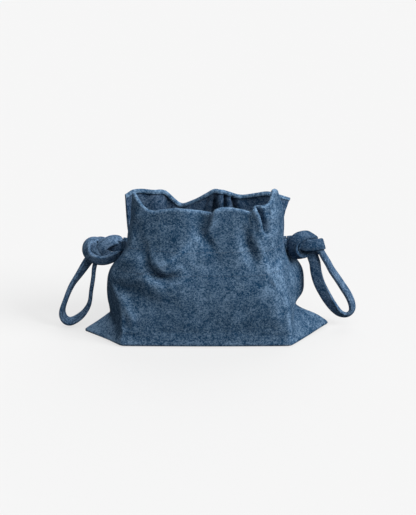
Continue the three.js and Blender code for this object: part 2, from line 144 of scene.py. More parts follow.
SECTIONS = {FRONT: FRONT_SECTIONS, BACK: BACK_SECTIONS}

# How sharply a panel turns at its two ridges, at rising heights
RIDGE_COLUMNS = (2, 6)
RIDGE_HEIGHTS = (0, 34, 50, 68, 84)
RIDGE_SHARPNESS = (0.85, 0.85, 0.85, 0.7, 0.0)

# Height of the rim across the mouth
FRONT_RIM = (
    (-75, 156), (-68, 149), (-60, 142), (-53, 140.5), (-46, 142), (-28, 144.5), (-1, 141), (5, 140.5),
    (8, 143.5), (13, 146), (21, 146.5), (38, 143.5), (44, 141.5), (47, 144.5), (51, 144), (56, 145.5),
    (62, 147), (65, 150), (67.5, 158), (69.5, 158.5), (72, 155),
)
BACK_RIM = (
    (-84, 144), (-76, 148), (-59, 147), (-43, 144), (-27, 130), (-12, 135), (-1, 142.5), (8, 147.5),
    (16, 146.5), (25, 143), (36, 139.5), (50, 142), (64, 144.5), (78, 138.5), (86, 134.5),
)
RIMS = {FRONT: FRONT_RIM, BACK: BACK_RIM}
RIM_ROW = 148
FREE_ROW = 100
RIM_RADIUS = 1.3
RIM_TURNS = (45, 90, 135, 180)
RIM_TUCK = 2

# Base: the radius of its edge, its half length and half depth, the gap at its seam, and half a layer of cloth
BASE_RADIUS = 3.5
BASE_REACH = (120, 54)
FLOOR_GAP = 0.3
HALF_CLOTH = 0.75
# Curl of the right ear: its height, where it starts, how far it grows, and where it ends above the floor
EAR_CURL = 2.6
EAR_START = 100
EAR_SPAN = 28
EAR_HEIGHT = 24

# Folds as lines on the panel seen from the front: the widths on the left and the right of the line,
# then places in x and z with the depth there. A positive depth stands out of the bag.
FRONT_FOLDS = (
    (9, 24, ((-52, 83, 4), (-47, 86, 7), (-37, 91, 7.5), (-24, 101, 6), (-13, 112, 2.5))),
    (3, 4, ((-51, 84, 0.5), (-46, 87, 2.5), (-36, 92, 2.5), (-24, 102, 1.5), (-16, 109, 0))),
    (3.5, 6, (
        (-60, 112, 0), (-61, 98, -2), (-58, 86, -5), (-50, 78, -7.5), (-40, 75.5, -6.5),
        (-30, 79, -2.5), (-24, 84, 0))),
    (6, 6, ((9, 98, -1), (2, 110, -3.5), (-4, 120, -2))),
    (9, 7, ((-5, 122, -1.5), (-9, 143, -3))),
    (4, 10, ((66, 104, 1), (65, 118, 3), (64, 132, 3))),
    (6, 14, ((62, 76, 3), (56, 92, 3.5), (51, 110, 3), (47, 124, 1))),
    (6, 6, ((50, 82, 0), (48, 92, -3.5), (42, 108, -4.5), (38, 122, -2))),
    (1.8, 3.2, (
        (59.5, 116, 0), (57.5, 121, -5), (56.4, 130, -9), (54.6, 138, -9), (52, 143, -7), (50, 149, -5))),
    (20, 8, ((74, 16, 0), (72, 34, 3.5), (67, 60, 5), (61, 82, 2))),
    (8, 8, ((-92, 68, 2.5), (-61, 74, 1.5))),
    (5, 5, ((-74, 18, 0.3), (-75.5, 32, 1.8), (-85, 50, 1.5))),
    (4.5, 6, ((80, 44, 1.5), (70, 82, 2.5))),
    (7, 7, ((-66, 100, -0.8), (-70, 126, -1.2))),
)
BACK_FOLDS = (
    (3, 3, ((4, 142, 0), (0, 134, 2), (-4, 124, 1.5), (-6, 108, 0))),
    (2.4, 2.4, ((9, 140, 0.5), (8.5, 130, 3.5), (8, 112, 2), (7, 96, 0))),
    (3.4, 3.4, ((13.5, 146, -1), (13.5, 134, -3.5), (13, 108, -1))),
    (2.4, 2.4, ((18, 146, 0), (18.5, 139, 4), (18.5, 116, 4.5), (18, 96, 1))),
    (1.6, 1.6, ((22, 144, 0), (22.5, 136, -2.5), (23, 112, -1.5))),
    (3, 3, ((24.5, 143, 0), (26.5, 136, 5), (31, 118, 5), (33, 98, 1))),
    (6, 6, ((-43, 146, 0.5), (-42, 136, 2.6), (-38, 106, 1.5))),
    (7, 7, ((-56, 148, -2.5), (-54, 104, -1.5))),
    (7, 7, ((-20, 134, -2), (-16, 100, -1.5))),
    (9, 9, ((52, 88, -4), (30, 72, -3), (12, 62, -1.5))),
    (10, 10, ((-60, 84, 4), (-40, 68, 3), (-22, 56, 1))),
    (7, 7, ((-72, 76, -3), (-52, 54, -1))),
    (11, 11, ((60, 68, -2.5), (64, 34, -1.5))),
    (9, 9, ((4, 88, 2.5), (-4, 58, 1))),
)

# Pleats, given in the same way from below upwards: where the depth is positive, the cloth on the right of
# the line lies in front, and where it is negative, the cloth on the left
FRONT_PLEATS = (
    (11, 9, ((-4, 112, 0), (0, 121, 1.5), (4, 133, 3.6), (7, 148, 5))),
    (6, 9, (
        (60, 115, 0), (56.5, 121, -3), (55, 130, -4), (53.2, 138, -4), (50.5, 143, -3.5), (48.5, 149, -2.5))),
)
BACK_PLEATS = ()
FOLDS = {FRONT: FRONT_FOLDS, BACK: BACK_FOLDS}
PLEATS = {FRONT: FRONT_PLEATS, BACK: BACK_PLEATS}
FOLD_REACH = 3
PLEAT_EDGE = 1.2
# Height in which the folds grow in above the floor, and the share of the width that is calm at each seam
FOLD_RISE = 16
CALM_EDGE = 0.1
# Crumple of the cloth in two sizes: height, how fast it changes across and up, and where it starts
CRUMPLES = ((1.1, 0.03, 0.024, 7), (0.45, 0.085, 0.06, 31))

# Paleness of the cloth, paler above zero and darker below: by the panel's bend, rubbed wear on ridges and
# painted shade in grooves;
# by the lift of its folds, painted light where they stand out and painted shade where they sink; a pale band
# at the rim; wear at the seams; painted light and shade on the ears
BEND_STEP = 2
BEND_WEAR_AND_SHADE = 130
LIFT_LIGHT_AND_SHADE = 0.09
FOLD_WEAR_AND_LIGHT_LIMIT = 0.9
RIM_PALE = 1.4
RIM_PALE_HEIGHT = 3
SEAM_FADE = 0.5
SEAM_FADE_COLUMNS = 2
# Painted light on the left ear and painted shade on the right ear
EAR_LIGHT = {LEFT: 1.8, RIGHT: -1.0}
EAR_LIGHT_START = 88
EAR_LIGHT_TOP = 10
EAR_LIGHT_SPAN = 10
# The same for the straps and the facings: painted light and shade on the knots and loops, paler worn edges on
# the straps, and painted light on the facings inside
KNOT_LIGHT = {"left": 1.5, "right": -0.5}
LOOP_LIGHT = {"left": 1.2, "right": 0.5}
EDGE_FADE = 0.4
EDGE_START = 0.86
FACING_LIGHT = 0.1

# Casing, at the heights of the frame
CASING_LOW = 77
CASING_TOP = 101
FACING_LOW = 69
# The facing leaves the panel this far from the stitches, over this height; its share of the cloth's thickness
FACING_MARGIN = 5
FACING_EASE = 6
FACING_CLOTH = 0.9
# Cords in the casing: depth behind the panel, share of the strap's width, margin at the seams, and how far
# the bight reaches out
RUN_DEPTH = 5.2
RUN_WIDTH = 0.9
RUN_MARGIN = 0.03
BIGHT_REACH = 4
# Stitches: margin at the seams, half length as a share of the pitch, and lift as a share of the thread
STITCH_MARGIN = 0.02
STITCH_LENGTH = 0.4
STITCH_LIFT = 0.1
# Seam strips: where the side seams start and end, half length of the bottom seam, ripple, and layers of cloth
SEAM_LOW = 3
SEAM_TOP = 68
FLOOR_SEAM_HALF = 72
SEAM_RIPPLE = 0.5
SEAM_WAVE = 1.3
SEAM_STEP = 1.9
SEAM_CLOTH = 1.6

# Cords and knots
LANES = {"left": 83.5, "right": 94.5}
KNOT_CENTRES = {"left": (-109, 0, 84.5), "right": (106, 0, 92)}
# Strands of the knots, measured from the knot's centre: place, and the way that the strap's flat faces
KNOT_STRANDS = {
    ("left", FRONT): (
        ((22, -3, 8), (0, -1, 0)), ((13, -1, 7), (0, -1, 0.1)), ((5, 2, 6.5), (0, -0.9, 0.3)),
        ((-5, 3, 9), (-0.1, -0.7, 0.6)), ((-10, 0, 11.6), (-0.35, -0.5, 0.8)),
        ((-14.2, -4, 10), (-0.7, -0.5, 0.5)), ((-15.4, -6.5, 5.5), (-0.75, -0.65, 0.1)),
        ((-14.5, -8, 1), (-0.65, -0.75, -0.15)), ((-10.5, -9.5, -3.2), (-0.35, -0.85, -0.4)),
        ((-3, -10, -6), (0, -0.9, -0.45)), ((5, -9.5, -6), (0.1, -0.9, -0.45)),
        ((12, -6.5, -4.2), (0.35, -0.85, -0.4)), ((17.5, -1, -2.5), (0.85, -0.4, -0.3)),
        ((20, 4, 3), (0.95, 0.25, 0)), ((20.5, 4, 9.5), (0.7, -0.1, 0.6)),
        ((17, 1, 12.4), (0.25, -0.55, 0.8)), ((11, -3, 13.2), (0, -0.75, 0.66)),
        ((5.5, -6.5, 11.6), (-0.15, -0.85, 0.5)), ((1.2, -8.5, 8.6), (-0.25, -0.92, 0.3)),
        ((-1.5, -8, 4.8), (-0.3, -0.93, 0.2)), ((-4, -5, 1), (-0.4, -0.9, 0.1)),
        ((-9, -1, -6.5), (-0.5, -0.8, 0.2)),
    ),
    ("left", BACK): (
        ((22, 5, 8), (0, -1, 0)), ((13, 5.5, 7.5), (0, -1, 0)), ((4, 7, 7), (0, -0.9, 0.2)),
        ((-4, 6, 9.5), (-0.3, -0.4, 0.8)), ((-9, 2, 11), (-0.6, -0.3, 0.7)),
        ((-10.8, -2.5, 9.5), (-0.6, -0.7, 0.4)), ((-8, -6, 6.8), (-0.3, -0.9, 0.3)),
        ((-3.5, -7.5, 4), (-0.1, -0.95, 0.25)), ((1.2, -8, 1), (0, -0.95, 0.2)),
        ((5.8, -7.5, -2.2), (0, -0.95, 0.1)), ((11, -5, -4.2), (0.4, -0.85, 0)),
        ((15.5, 0, -3), (0.9, 0.1, 0)), ((16.5, 5, 4), (0.7, 0.7, 0.2)), ((15, 5, 10.5), (0.4, 0.5, 0.7)),
        ((11.5, 1, 12.5), (0, -0.2, 0.9)), ((6.5, -3, 11.5), (-0.2, -0.7, 0.6)),
        ((2, -5.5, 8.5), (-0.3, -0.9, 0.3)), ((-1, -4.5, 2.5), (-0.3, -0.9, 0.2)),
        ((-4, 0, -7), (-0.3, -0.9, 0.1)),
    ),
    ("right", FRONT): (
        ((-22, -3, 2), (0, -1, 0)), ((-14, 1, 3.5), (0, -1, 0)), ((-3, 5, 2), (0, -1, 0)),
        ((4, 6, -4), (0.7, -0.3, -0.6)), ((-1, 3, -10), (0.2, -0.2, -0.95)),
        ((-7, -2, -12.5), (-0.1, -0.5, -0.85)), ((-13, -6, -9.5), (-0.5, -0.75, -0.45)),
        ((-16.5, -8, -3), (-0.65, -0.75, 0)), ((-16.2, -8.5, 4.5), (-0.5, -0.75, 0.4)),
        ((-12, -7.5, 9.8), (-0.2, -0.75, 0.65)), ((-5.5, -5, 11.6), (0, -0.6, 0.8)),
        ((1, 0, 11), (0.2, -0.3, 0.9)), ((5, 5, 8), (0.5, 0.3, 0.8)), ((2, 6.5, 3), (0.3, 0.9, 0.1)),
        ((-7, 3, 2), (-0.8, 0.5, 0)), ((-11, -3.5, 4), (-0.3, -0.9, 0.1)),
        ((-4, -9, 2.6), (0, -0.95, 0.3)), ((4, -9.5, 3), (0.05, -0.92, 0.35)),
        ((10, -7.5, 2.8), (0.25, -0.85, 0.45)), ((14.5, -2, 1.8), (0.8, -0.45, 0.4)),
        ((13, 3.5, -2), (0.6, 0.7, 0.3)), ((8, 4, -7), (0.2, 0.95, 0)),
    ),
    ("right", BACK): (
        ((-22, 5, 2), (0, -1, 0)), ((-14, 5, 2.5), (0, -1, 0)), ((-4, 8, 0), (0, -1, 0)),
        ((1, 7, -5), (0.7, -0.3, -0.6)), ((-3, 3, -8), (0.2, -0.2, -0.95)),
        ((-8, -1, -9.5), (-0.1, -0.5, -0.85)), ((-12, -4, -6.5), (-0.5, -0.75, -0.45)),
        ((-13, -5.5, -1), (-0.65, -0.75, 0)), ((-12, -5.5, 5.5), (-0.5, -0.75, 0.4)),
        ((-7, -4, 10), (-0.15, -0.7, 0.7)), ((-1, 0, 11), (0.15, -0.3, 0.95)),
        ((2.5, 4, 7), (0.5, 0.3, 0.8)), ((0, 5, 1), (0.3, 0.9, 0.1)), ((-6, 2, -1), (-0.8, 0.5, 0)),
        ((-8, -2, -1), (-0.3, -0.9, 0)), ((-2, -5, 0), (0, -1, 0.05)), ((5, -5.5, 0.5), (0.05, -1, 0.1)),
        ((10, -3.5, -1), (0.6, -0.75, 0.1)), ((10.5, 0, -4), (0.5, 0.6, 0)), ((3, 1, -8), (0.1, 0.9, 0)),
    ),
}
# Loops, measured from the knot's centre in x and z: the part that hangs, its two ends inside the knot, and
# how far the strap's flat is turned to the front at shares of the way
LOOP_ROUTES = {
    "left": (
        (-21, -20), (-25, -26), (-33, -38), (-40, -54), (-44, -67), (-42, -75.5), (-36.5, -78.5),
        (-29, -75.5), (-21, -68.5), (-15, -58), (-12.5, -43), (-10, -29), (-9, -20),
    ),
    "right": (
        (21, -20), (25, -27.5), (31.5, -37), (38, -47), (44, -56.5), (48, -66.5), (48, -74), (43, -78.5),
        (35, -76.5), (26.5, -67), (18.5, -54), (12.5, -42), (9, -30), (7.5, -20),
    ),
}
LOOP_TOPS = {
    "left": (((-10, -4), (-15.5, -11.5)), ((-7.5, -13), (-6, -5))),
    "right": (((10, 0), (15, -10)), ((4.5, -11), (2, -3))),
}
LOOP_TURNS = {"left": (58, 12, 18, 4, 8), "right": (16, 24, 34, 72, 90)}
TURN_SHARES = (0, 0.3, 0.5, 0.7, 1)
# How far below the knot's centre a loop starts to swing and swings fully
LOOP_BLEND = (12, 26)

# Fineness of the meshes
COLUMNS = 200
FLOOR_ROWS = 8
WALL_ROWS = 104
SEAM_ROWS = 4
STRAP_SIDES = 16
STRAND_STEPS = 120
RUN_STEPS = 90
SHORT_STEPS = 24
FINE_STEPS = 3
# Rounding of cut edges, as a share of the thickness, and the angle from which an edge counts as cut
EDGE_ROUND = 0.4
EDGE_ANGLE = 65
# Outline of a strap: how flat its two sides and its two faces are, and its groove at the sewn edge
STRAP_ROUNDING = (0.45, 0.55)
STRAP_GROOVE = 0.93

# Where a lead starts inside its slit, across and up, and where it moves fully with its knot
LEAD_STARTS = {"left": (75, 88), "right": (71, 94)}
LEAD_ENDS = {"left": 87, "right": 83}

# Way along which the closing of the mouth grows, outwards and up, in metres, from the wall at the floor
MOUTH_BODIES = {FRONT: "front_mouth", BACK: "back_mouth"}
MOUTH_GROWTH = {FRONT: (0.036, 0.0139), BACK: (0.0205, 0.0105)}
MOUTH_WALL = 57
# How far the layers behind a panel lie inside it at the floor, and how much less with each millimetre up
RUN_INSET = 4.6
FACING_INSET = 20.3
FACING_TAPER = 0.128

# Look of the denim: cells, grain and clouds that make the flecks, and how they are spread and tinted
FLECK_SCALE = 900
FLECK_SHARE = 0.33
GRAIN_SCALE = 380
GRAIN_SHARE = 0.37
CLOUD_SCALE = 110
CLOUD_SHARE = 0.5
FLECK_DETAIL = 4
FLECK_RANGE = (0.44, 0.82)
FLECK_POWER = 1.3
FLECK_HEIGHT = 1.2
DARK_TINT = (0.15, 0.36, 0.51, 1)
LIGHT_TINT = (2.4, 1.95, 1.8, 1)
# Its broad wash, what the wear and the painted light and shade do to the flecks and the tone, its twill,
# roughness and relief
WASH_SCALE = 26
WASH_DETAIL = 3
WASH_RANGE = (0.35, 0.7)
WASH_SHARE = 0.08
WEAR_AND_LIGHT_SHIFT = 0.05
WEAR_AND_LIGHT_TONE = 0.25
TWILL_SCALE = 700
TWILL_DISTORTION = 0.6
TWILL_HEIGHT = 0.3
DARK_ROUGHNESS = 0.85
PALE_ROUGHNESS = 0.93
DENIM_SPECULAR = 0.015
DENIM_BUMP = 0.5
DENIM_RELIEF = 0.5 * MM
# Sewn edge of a strap: its two lines on the flat cut, and where the thread, a stitch and the dent fade out;
# the dent gets painted shade
SEWN_LINES = (3.4 * MM, 23 * MM)
SEWN_PITCH = 3.2 * MM
THREAD_EDGE = (0.2 * MM, 0.45 * MM)
THREAD_SHARE = 0.6
THREAD_TINT = (0.05, 0.085, 0.13, 1)
STITCH_ENDS = (0.32, 0.4)
DENT_EDGE = (0.3 * MM, 1.2 * MM)
DENT_SHADE_SHARE = 0.35
DENT_SHADE = (0.012, 0.022, 0.04, 1)
# Plies of the thread
PLY_SCALE = 1800
PLY_DETAIL = 2
PLY_RANGE = (0.35, 0.65)
PLY_FACTORS = (0.6, 1.5)
PLY_ROUGHNESS = 0.75
PLY_RELIEF = 0.1 * MM

# Stage: lamps with their strength, softness and turn, the light of the sky, and the floor's colour, what the
# lamps add to its brightness and its half size
SENSOR_WIDTH = 36
LAMPS = (
    ("key lamp", 3.9, 30, (58, 0, 64)),
    ("front lamp", 1.75, 60, (30, 0, 12)),
    ("back lamp", 1.6, 60, (-46, 0, -14)),
)
WHITE = (1, 1, 1, 1)
SKY_LIGHT = 0.09
FLOOR_GREY = (0.16, 0.16, 0.16, 1)
FLOOR_LIT = 0.25
FLOOR_HALF = 6


def slot_colour(slot):
    """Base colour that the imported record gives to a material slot."""
    return next(row["base_color"] for row in frame["record"]["materials"] if row["slot"] == slot)


class PouchSizes(bpy.types.PropertyGroup):
    cloth: bpy.props.FloatProperty(
        name="Cloth", description="Thickness of one layer of denim",
        default=1.4 * MM, unit="LENGTH")
    strap_width: bpy.props.FloatProperty(
        name="Strap width", description="Width of the folded strap cords",
        default=12.2 * MM, unit="LENGTH")
    strap_thick: bpy.props.FloatProperty(
        name="Strap thickness", description="Thickness of the folded strap cords",
        default=4.4 * MM, unit="LENGTH")
    facing_gap: bpy.props.FloatProperty(
        name="Facing gap", description="Distance between panel and facing at the rim",
        default=1.3 * MM, unit="LENGTH")
    casing_depth: bpy.props.FloatProperty(
        name="Casing depth", description="Distance between panel and facing at the cords",
        default=10 * MM, unit="LENGTH")
    seam_allowance: bpy.props.FloatProperty(
        name="Seam allowance", description="Width of the seam strips inside",
        default=6 * MM, unit="LENGTH")
    stitch_pitch: bpy.props.FloatProperty(
        name="Stitch pitch", description="Distance from one stitch to the next",
        default=3.2 * MM, unit="LENGTH")
    thread: bpy.props.FloatProperty(
        name="Thread", description="Diameter of the sewing thread",
        default=0.6 * MM, unit="LENGTH")


class PouchColours(bpy.types.PropertyGroup):
    denim: bpy.props.FloatVectorProperty(
        name="Denim", description="Mean colour of the outer denim", subtype="COLOR", size=3,
        default=slot_colour("denim"))
    facing: bpy.props.FloatVectorProperty(
        name="Facing", description="Mean colour of the denim inside", subtype="COLOR", size=3,
        default=slot_colour("facing_denim"))
    cord: bpy.props.FloatVectorProperty(
        name="Cord", description="Mean colour of the strap cords", subtype="COLOR", size=3,
        default=slot_colour("cord_denim"))
    thread: bpy.props.FloatVectorProperty(
        name="Thread", description="Colour of the sewing thread", subtype="COLOR", size=3,
        default=slot_colour("thread"))


class PouchStage(bpy.types.PropertyGroup):
    elevation: bpy.props.FloatProperty(
        name="Elevation", description="Height angle of the camera",
        default=math.radians(19.5), subtype="ANGLE")
    distance: bpy.props.FloatProperty(
        name="Distance", description="Distance from camera to pouch", default=1.27, unit="LENGTH")
    aim: bpy.props.FloatVectorProperty(
        name="Aim", description="Point that the camera looks at", default=(0.0016, 0, 0.078), subtype="XYZ")
    lens: bpy.props.FloatProperty(
        name="Lens", description="Focal length of the camera in millimetres", default=85)
    backdrop: bpy.props.FloatProperty(
        name="Backdrop", description="Brightness of floor and background", default=0.92, subtype="FACTOR")


# Curves

def smooth_through(places, values, place, ease=None):
    """Value at a place on a smooth curve through the values that are given at rising places."""
    last = len(places) - 1
    if place <= places[0]:
        return values[0]
    if place >= places[last]:
        return values[last]
    index = bisect_right(places, place) - 1

    def slope(key):
        low = max(key - 1, 0)
        high = min(key + 1, last)
        rise = (values[high] - values[low]) / (places[high] - places[low])
        return rise * ease[key] if ease else rise

    step = places[index + 1] - places[index]
    share = (place - places[index]) / step
    rest = 1 - share
    start = values[index] * ((1 + 2 * share) * rest ** 2) + slope(index) * (step * share * rest ** 2)
    end = values[index + 1] * (share ** 2 * (3 - 2 * share)) - slope(index + 1) * (step * share ** 2 * rest)
    return start + end


def smooth_step(value):
    """Share from 0 to 1 that starts and ends gently."""
    value = max(0.0, min(1.0, value))
    return value * value * (3 - 2 * value)


def running_lengths(points):
    """Length of a line of points from its start up to each of them."""
    lengths = [0.0]
    for before, after in zip(points, points[1:]):
        lengths.append(lengths[-1] + (after - before).length)
    return lengths


def chord_places(points):
    """Places along a curve for its points, by the root of the distance between them."""
    places = [0.0]
    for before, after in zip(points, points[1:]):
        places.append(places[-1] + math.sqrt(max((after - before).length, TINY)))
    return places


def even_shares(points, count):
    """Places, as index and share, that lie evenly along a line of points."""
    lengths = running_lengths(points)
    result = []
    for step in range(count):
        target = lengths[-1] * step / (count - 1)
        index = min(bisect_right(lengths, target) - 1, len(points) - 2)
        span = max(lengths[index + 1] - lengths[index], TINY)
        result.append((index, (target - lengths[index]) / span))
    return result


def even_curve(points, count, *others, ease=None):
    """Points evenly spaced on a smooth curve, and the values of other lists along it."""
    places = chord_places(points)
    fine = count * FINE_STEPS
    dense = [places[-1] * step / (fine - 1) for step in range(fine)]
    line = [smooth_through(places, points, place, ease) for place in dense]
    shares = even_shares(line, count)
    chosen = [dense[index] + (dense[index + 1] - dense[index]) * share for index, share in shares]
    curve = [smooth_through(places, points, place, ease) for place in chosen]
    tracks = [[smooth_through(places, values, place) for place in chosen] for values in others]
    return [curve, *tracks] if others else curve


def way_along(points, index):
    """Direction of a line of points at one of them."""
    low = points[max(index - 1, 0)]
    high = points[min(index + 1, len(points) - 1)]
    return (high - low).normalized()


def share_across(margin, step, last):
    """Share across a panel at a step, from a margin at one seam to the same margin at the other."""
    return margin + (1 - 2 * margin) * step / last


# Form of the bag

def section_points(side, height):
    """Line of a panel at one height, evenly spaced from the left seam to the right one."""
    rows = SECTIONS[side]
    heights = [row[0] for row in rows]
    points = []
    for column in range(len(rows[0][1])):
        values = [Vector(row[1][column]) for row in rows]
        points.append(smooth_through(heights, values, height))
    sharp = smooth_through(RIDGE_HEIGHTS, RIDGE_SHARPNESS, height)
    ease = [1 - sharp if column in RIDGE_COLUMNS else 1.0 for column in range(len(points))]
    return even_curve(points, COLUMNS + 1, ease=ease)


def nearest_on(line, x, z):
    """Distance from a line of places, the depth given there, and the side: positive on its right."""
    best = None
    for (ax, az, first), (bx, bz, last) in zip(line, line[1:]):
        dx, dz = bx - ax, bz - az
        share = max(0.0, min(1.0, ((x - ax) * dx + (z - az) * dz) / (dx * dx + dz * dz)))
        distance = math.hypot(x - ax - dx * share, z - az - dz * share)
        if best is None or distance < best[0]:
            best = (distance, first + (last - first) * share, dz * (x - ax) - dx * (z - az))
    return best


def with_boxes(folds):
    """Folds with the box in x and z that each of them can reach."""
    boxed = []
    for left_width, right_width, line in folds:
        reach = FOLD_REACH * max(left_width, right_width)
        across = [place[0] for place in line]
        up = [place[1] for place in line]
        box = (min(across) - reach, max(across) + reach, min(up) - reach, max(up) + reach)
        boxed.append((box, left_width, right_width, line))
    return boxed


def folds_at(boxed, x, z):
    """Signed distance and faded depth of every fold that reaches a place on the panel."""
    for (left, right, low, high), left_width, right_width, line in boxed:
        if left < x < right and low < z < high:
            distance, depth, hand = nearest_on(line, x, z)
            width = right_width if hand > 0 else left_width
            yield math.copysign(distance, hand), depth * math.exp(-(distance / width) ** 2)


def fold_lift(boxed, x, z):
    """How far the rounded folds lift the cloth at a place on the panel."""
    return sum(depth for _, depth in folds_at(boxed, x, z))


def pleat_lift(boxed, x, z):
    """How far the pleats lift the cloth on their right and sink it on their left."""
    return sum(depth * math.tanh(distance / PLEAT_EDGE) for distance, depth in folds_at(boxed, x, z))


def ear_lift(x):
    """Curl of the right ear off the floor."""
    return EAR_CURL * smooth_step((x - EAR_START) / EAR_SPAN)


def crumple(x, y, z):
    """Small unevenness of the washed cloth."""
    return sum(
        rise * noise.noise(Vector((x * across, y * across, z * up + start)))
        for rise, across, up, start in CRUMPLES)


def drawn_in(points, height):
    """Section of the wall near the floor, drawn in where the cloth rounds into the base."""
    under = max(BASE_RADIUS - height, 0)
    inset = BASE_RADIUS - math.sqrt(BASE_RADIUS ** 2 - under ** 2)
    x_share, y_share = (1 - inset / reach for reach in BASE_REACH)
    return [Vector((point.x * x_share, point.y * y_share)) for point in points]


def base_rows(side):
    """Undisturbed rows of a panel in millimetres: the floor from its seam outwards, then the wall."""
    edge = drawn_in(section_points(side, 0), 0)
    left, right = edge[0], edge[-1]
    rows = []
    for step in range(FLOOR_ROWS):
        share = step / FLOOR_ROWS
        row = []
        for point in edge:
            across = (point.x - left.x) / (right.x - left.x)
            seam = left.y + (right.y - left.y) * across + side * FLOOR_GAP
            y = seam + (point.y - seam) * share
            row.append(Vector((point.x, y, HALF_CLOTH + ear_lift(point.x))))
        rows.append((0.0, row))
    rim_x, rim_z = zip(*RIMS[side])
    for step in range(WALL_ROWS + 1):
        height = RIM_ROW * step / WALL_ROWS
        low = 1 - smooth_step(height / EAR_HEIGHT)
        row = []
        for point in drawn_in(section_points(side, height), height):
            z = height
            if height > FREE_ROW:
                top = smooth_through(rim_x, rim_z, point.x) - RIM_RADIUS
                z = FREE_ROW + (height - FREE_ROW) * (top - FREE_ROW) / (RIM_ROW - FREE_ROW)
            z = HALF_CLOTH + z * (1 - HALF_CLOTH / RIM_ROW) + ear_lift(point.x) * low
            row.append(Vector((point.x, point.y, z)))
        rows.append((height, row))
    return rows


def outward(rows, side, row, column):
    """Direction out of the bag at a place of a panel's rows."""
    line = rows[row]
    across = line[min(column + 1, COLUMNS)] - line[max(column - 1, 0)]
    up = rows[min(row + 1, len(rows) - 1)][column] - rows[max(row - 1, 0)][column]
    return (across.cross(up) * -side).normalized()


@lru_cache(maxsize=None)
def panel_table(side):
    """Heights in millimetres, places in metres and outward directions of a panel's rows."""
    base = base_rows(side)
    heights = [height for height, _ in base]
    plain = [row for _, row in base]
    folds = with_boxes(FOLDS[side])
    pleats = with_boxes(PLEATS[side])
    shaped = []
    for row, line in enumerate(plain):
        shaped_line = []
        for column, point in enumerate(line):
            lift = 0.0
            if heights[row] > 0:
                lift += fold_lift(folds, point.x, point.z) + pleat_lift(pleats, point.x, point.z)
                edge = min(column, COLUMNS - column) / COLUMNS
                lift += crumple(*point) * smooth_step(edge / CALM_EDGE)
                lift *= smooth_step(heights[row] / FOLD_RISE)
            shaped_line.append(point + outward(plain, side, row, column) * lift)
        shaped.append(shaped_line)
    places = [[point * MM for point in line] for line in shaped]
    directions = [
        [outward(shaped, side, row, column) for column in range(COLUMNS + 1)] for row in range(len(shaped))
    ]
    return heights, places, directions


def bend_at(places, directions, row, column):
    """Bend of a panel at a place, across and up, in turns of direction to the metre: ridges are positive."""
    top = len(places) - 1
    pairs = (
        ((row, max(column - BEND_STEP, 0)), (row, min(column + BEND_STEP, COLUMNS))),
        ((max(row - BEND_STEP, 0), column), (min(row + BEND_STEP, top), column)),
    )
    bend = 0.0
    for (low_row, low_column), (high_row, high_column) in pairs:
        step = places[high_row][high_column] - places[low_row][low_column]
        turn = directions[high_row][high_column] - directions[low_row][low_column]
        bend += turn.dot(step) / max(step.length_squared, TINY)
    return bend


def panel_wear_and_light(side):
    """Paleness of the panel's cloth: ridges are paler from rubbed wear, grooves darker from painted shade,
    raised folds get painted light and sunk ones painted shade, the rim gets a pale band, the seams wear, and
    each ear its own painted light or shade.
    """
    heights, places, directions = panel_table(side)
    folds = with_boxes(FOLDS[side])
    table = []
    for row, height in enumerate(heights):
        rim = RIM_PALE * (1 - smooth_step((RIM_ROW - height) / RIM_PALE_HEIGHT))
        low = 1 - smooth_step((height - EAR_LIGHT_TOP) / EAR_LIGHT_SPAN)
        line = []
        for column in range(COLUMNS + 1):
            seam = SEAM_FADE * (1 - smooth_step(min(column, COLUMNS - column) / SEAM_FADE_COLUMNS))
            x, _, z = places[row][column] / MM
            # Each ear gets painted light, paler on the left and darker on the right
            painted_light = EAR_LIGHT[RIGHT if x > 0 else LEFT]
            ear = painted_light * low * smooth_step((abs(x) - EAR_LIGHT_START) / EAR_LIGHT_SPAN)
            # Rubbed wear on ridges with painted shade in grooves, plus painted light on raised folds and
            # painted shade on sunk ones
            rubbed_and_lit = bend_at(places, directions, row, column) / BEND_WEAR_AND_SHADE + LIFT_LIGHT_AND_SHADE * fold_lift(folds, x, z)
            line.append(max(rim, seam, max(-FOLD_WEAR_AND_LIGHT_LIMIT, min(FOLD_WEAR_AND_LIGHT_LIMIT, rubbed_and_lit)) + ear))
        table.append(line)
    return table


def rolled_rim(places, directions):
    """Rows that roll the rim of a panel inwards over the edge of its facing."""
    radius = RIM_RADIUS * MM
    tuck = RIM_TUCK * MM
    ends = list(zip(places[-1], places[-2], directions[-1]))
    rows = []
    for angle in RIM_TURNS:
        turn = math.radians(angle)
        into, up = radius * (1 - math.cos(turn)), radius * math.sin(turn)
        rows.append([top - way * into + (top - low).normalized() * up for top, low, way in ends])
    rows.append([top - way * 2 * radius - (top - low).normalized() * tuck for top, low, way in ends])
    return rows


def panel_place(side, across, height):
    """Place and outward direction on a panel, for a share across and a height in millimetres."""
    _, places, directions = panel_table(side)
    step = RIM_ROW / WALL_ROWS
    row = min(int(height / step), WALL_ROWS - 1)
    up = height / step - row
    row += FLOOR_ROWS
    column = min(int(across * COLUMNS), COLUMNS - 1)
    right = across * COLUMNS - column

    def mixed(grid):
        low = grid[row][column].lerp(grid[row][column + 1], right)
        high = grid[row + 1][column].lerp(grid[row + 1][column + 1], right)
        return low.lerp(high, up)

    return mixed(places), mixed(directions).normalized()


# Meshes

def piece_from(bm, name, material, smooth=True):
    """Object of its own from a bmesh, at the origin, with one material."""
    for face in bm.faces:
        face.smooth = smooth
    mesh = bpy.data.meshes.new(name)
    bm.to_mesh(mesh)
    bm.free()
    mesh.materials.append(material)
    piece = bpy.data.objects.new(name, mesh)
    bpy.context.scene.collection.objects.link(piece)
    return piece


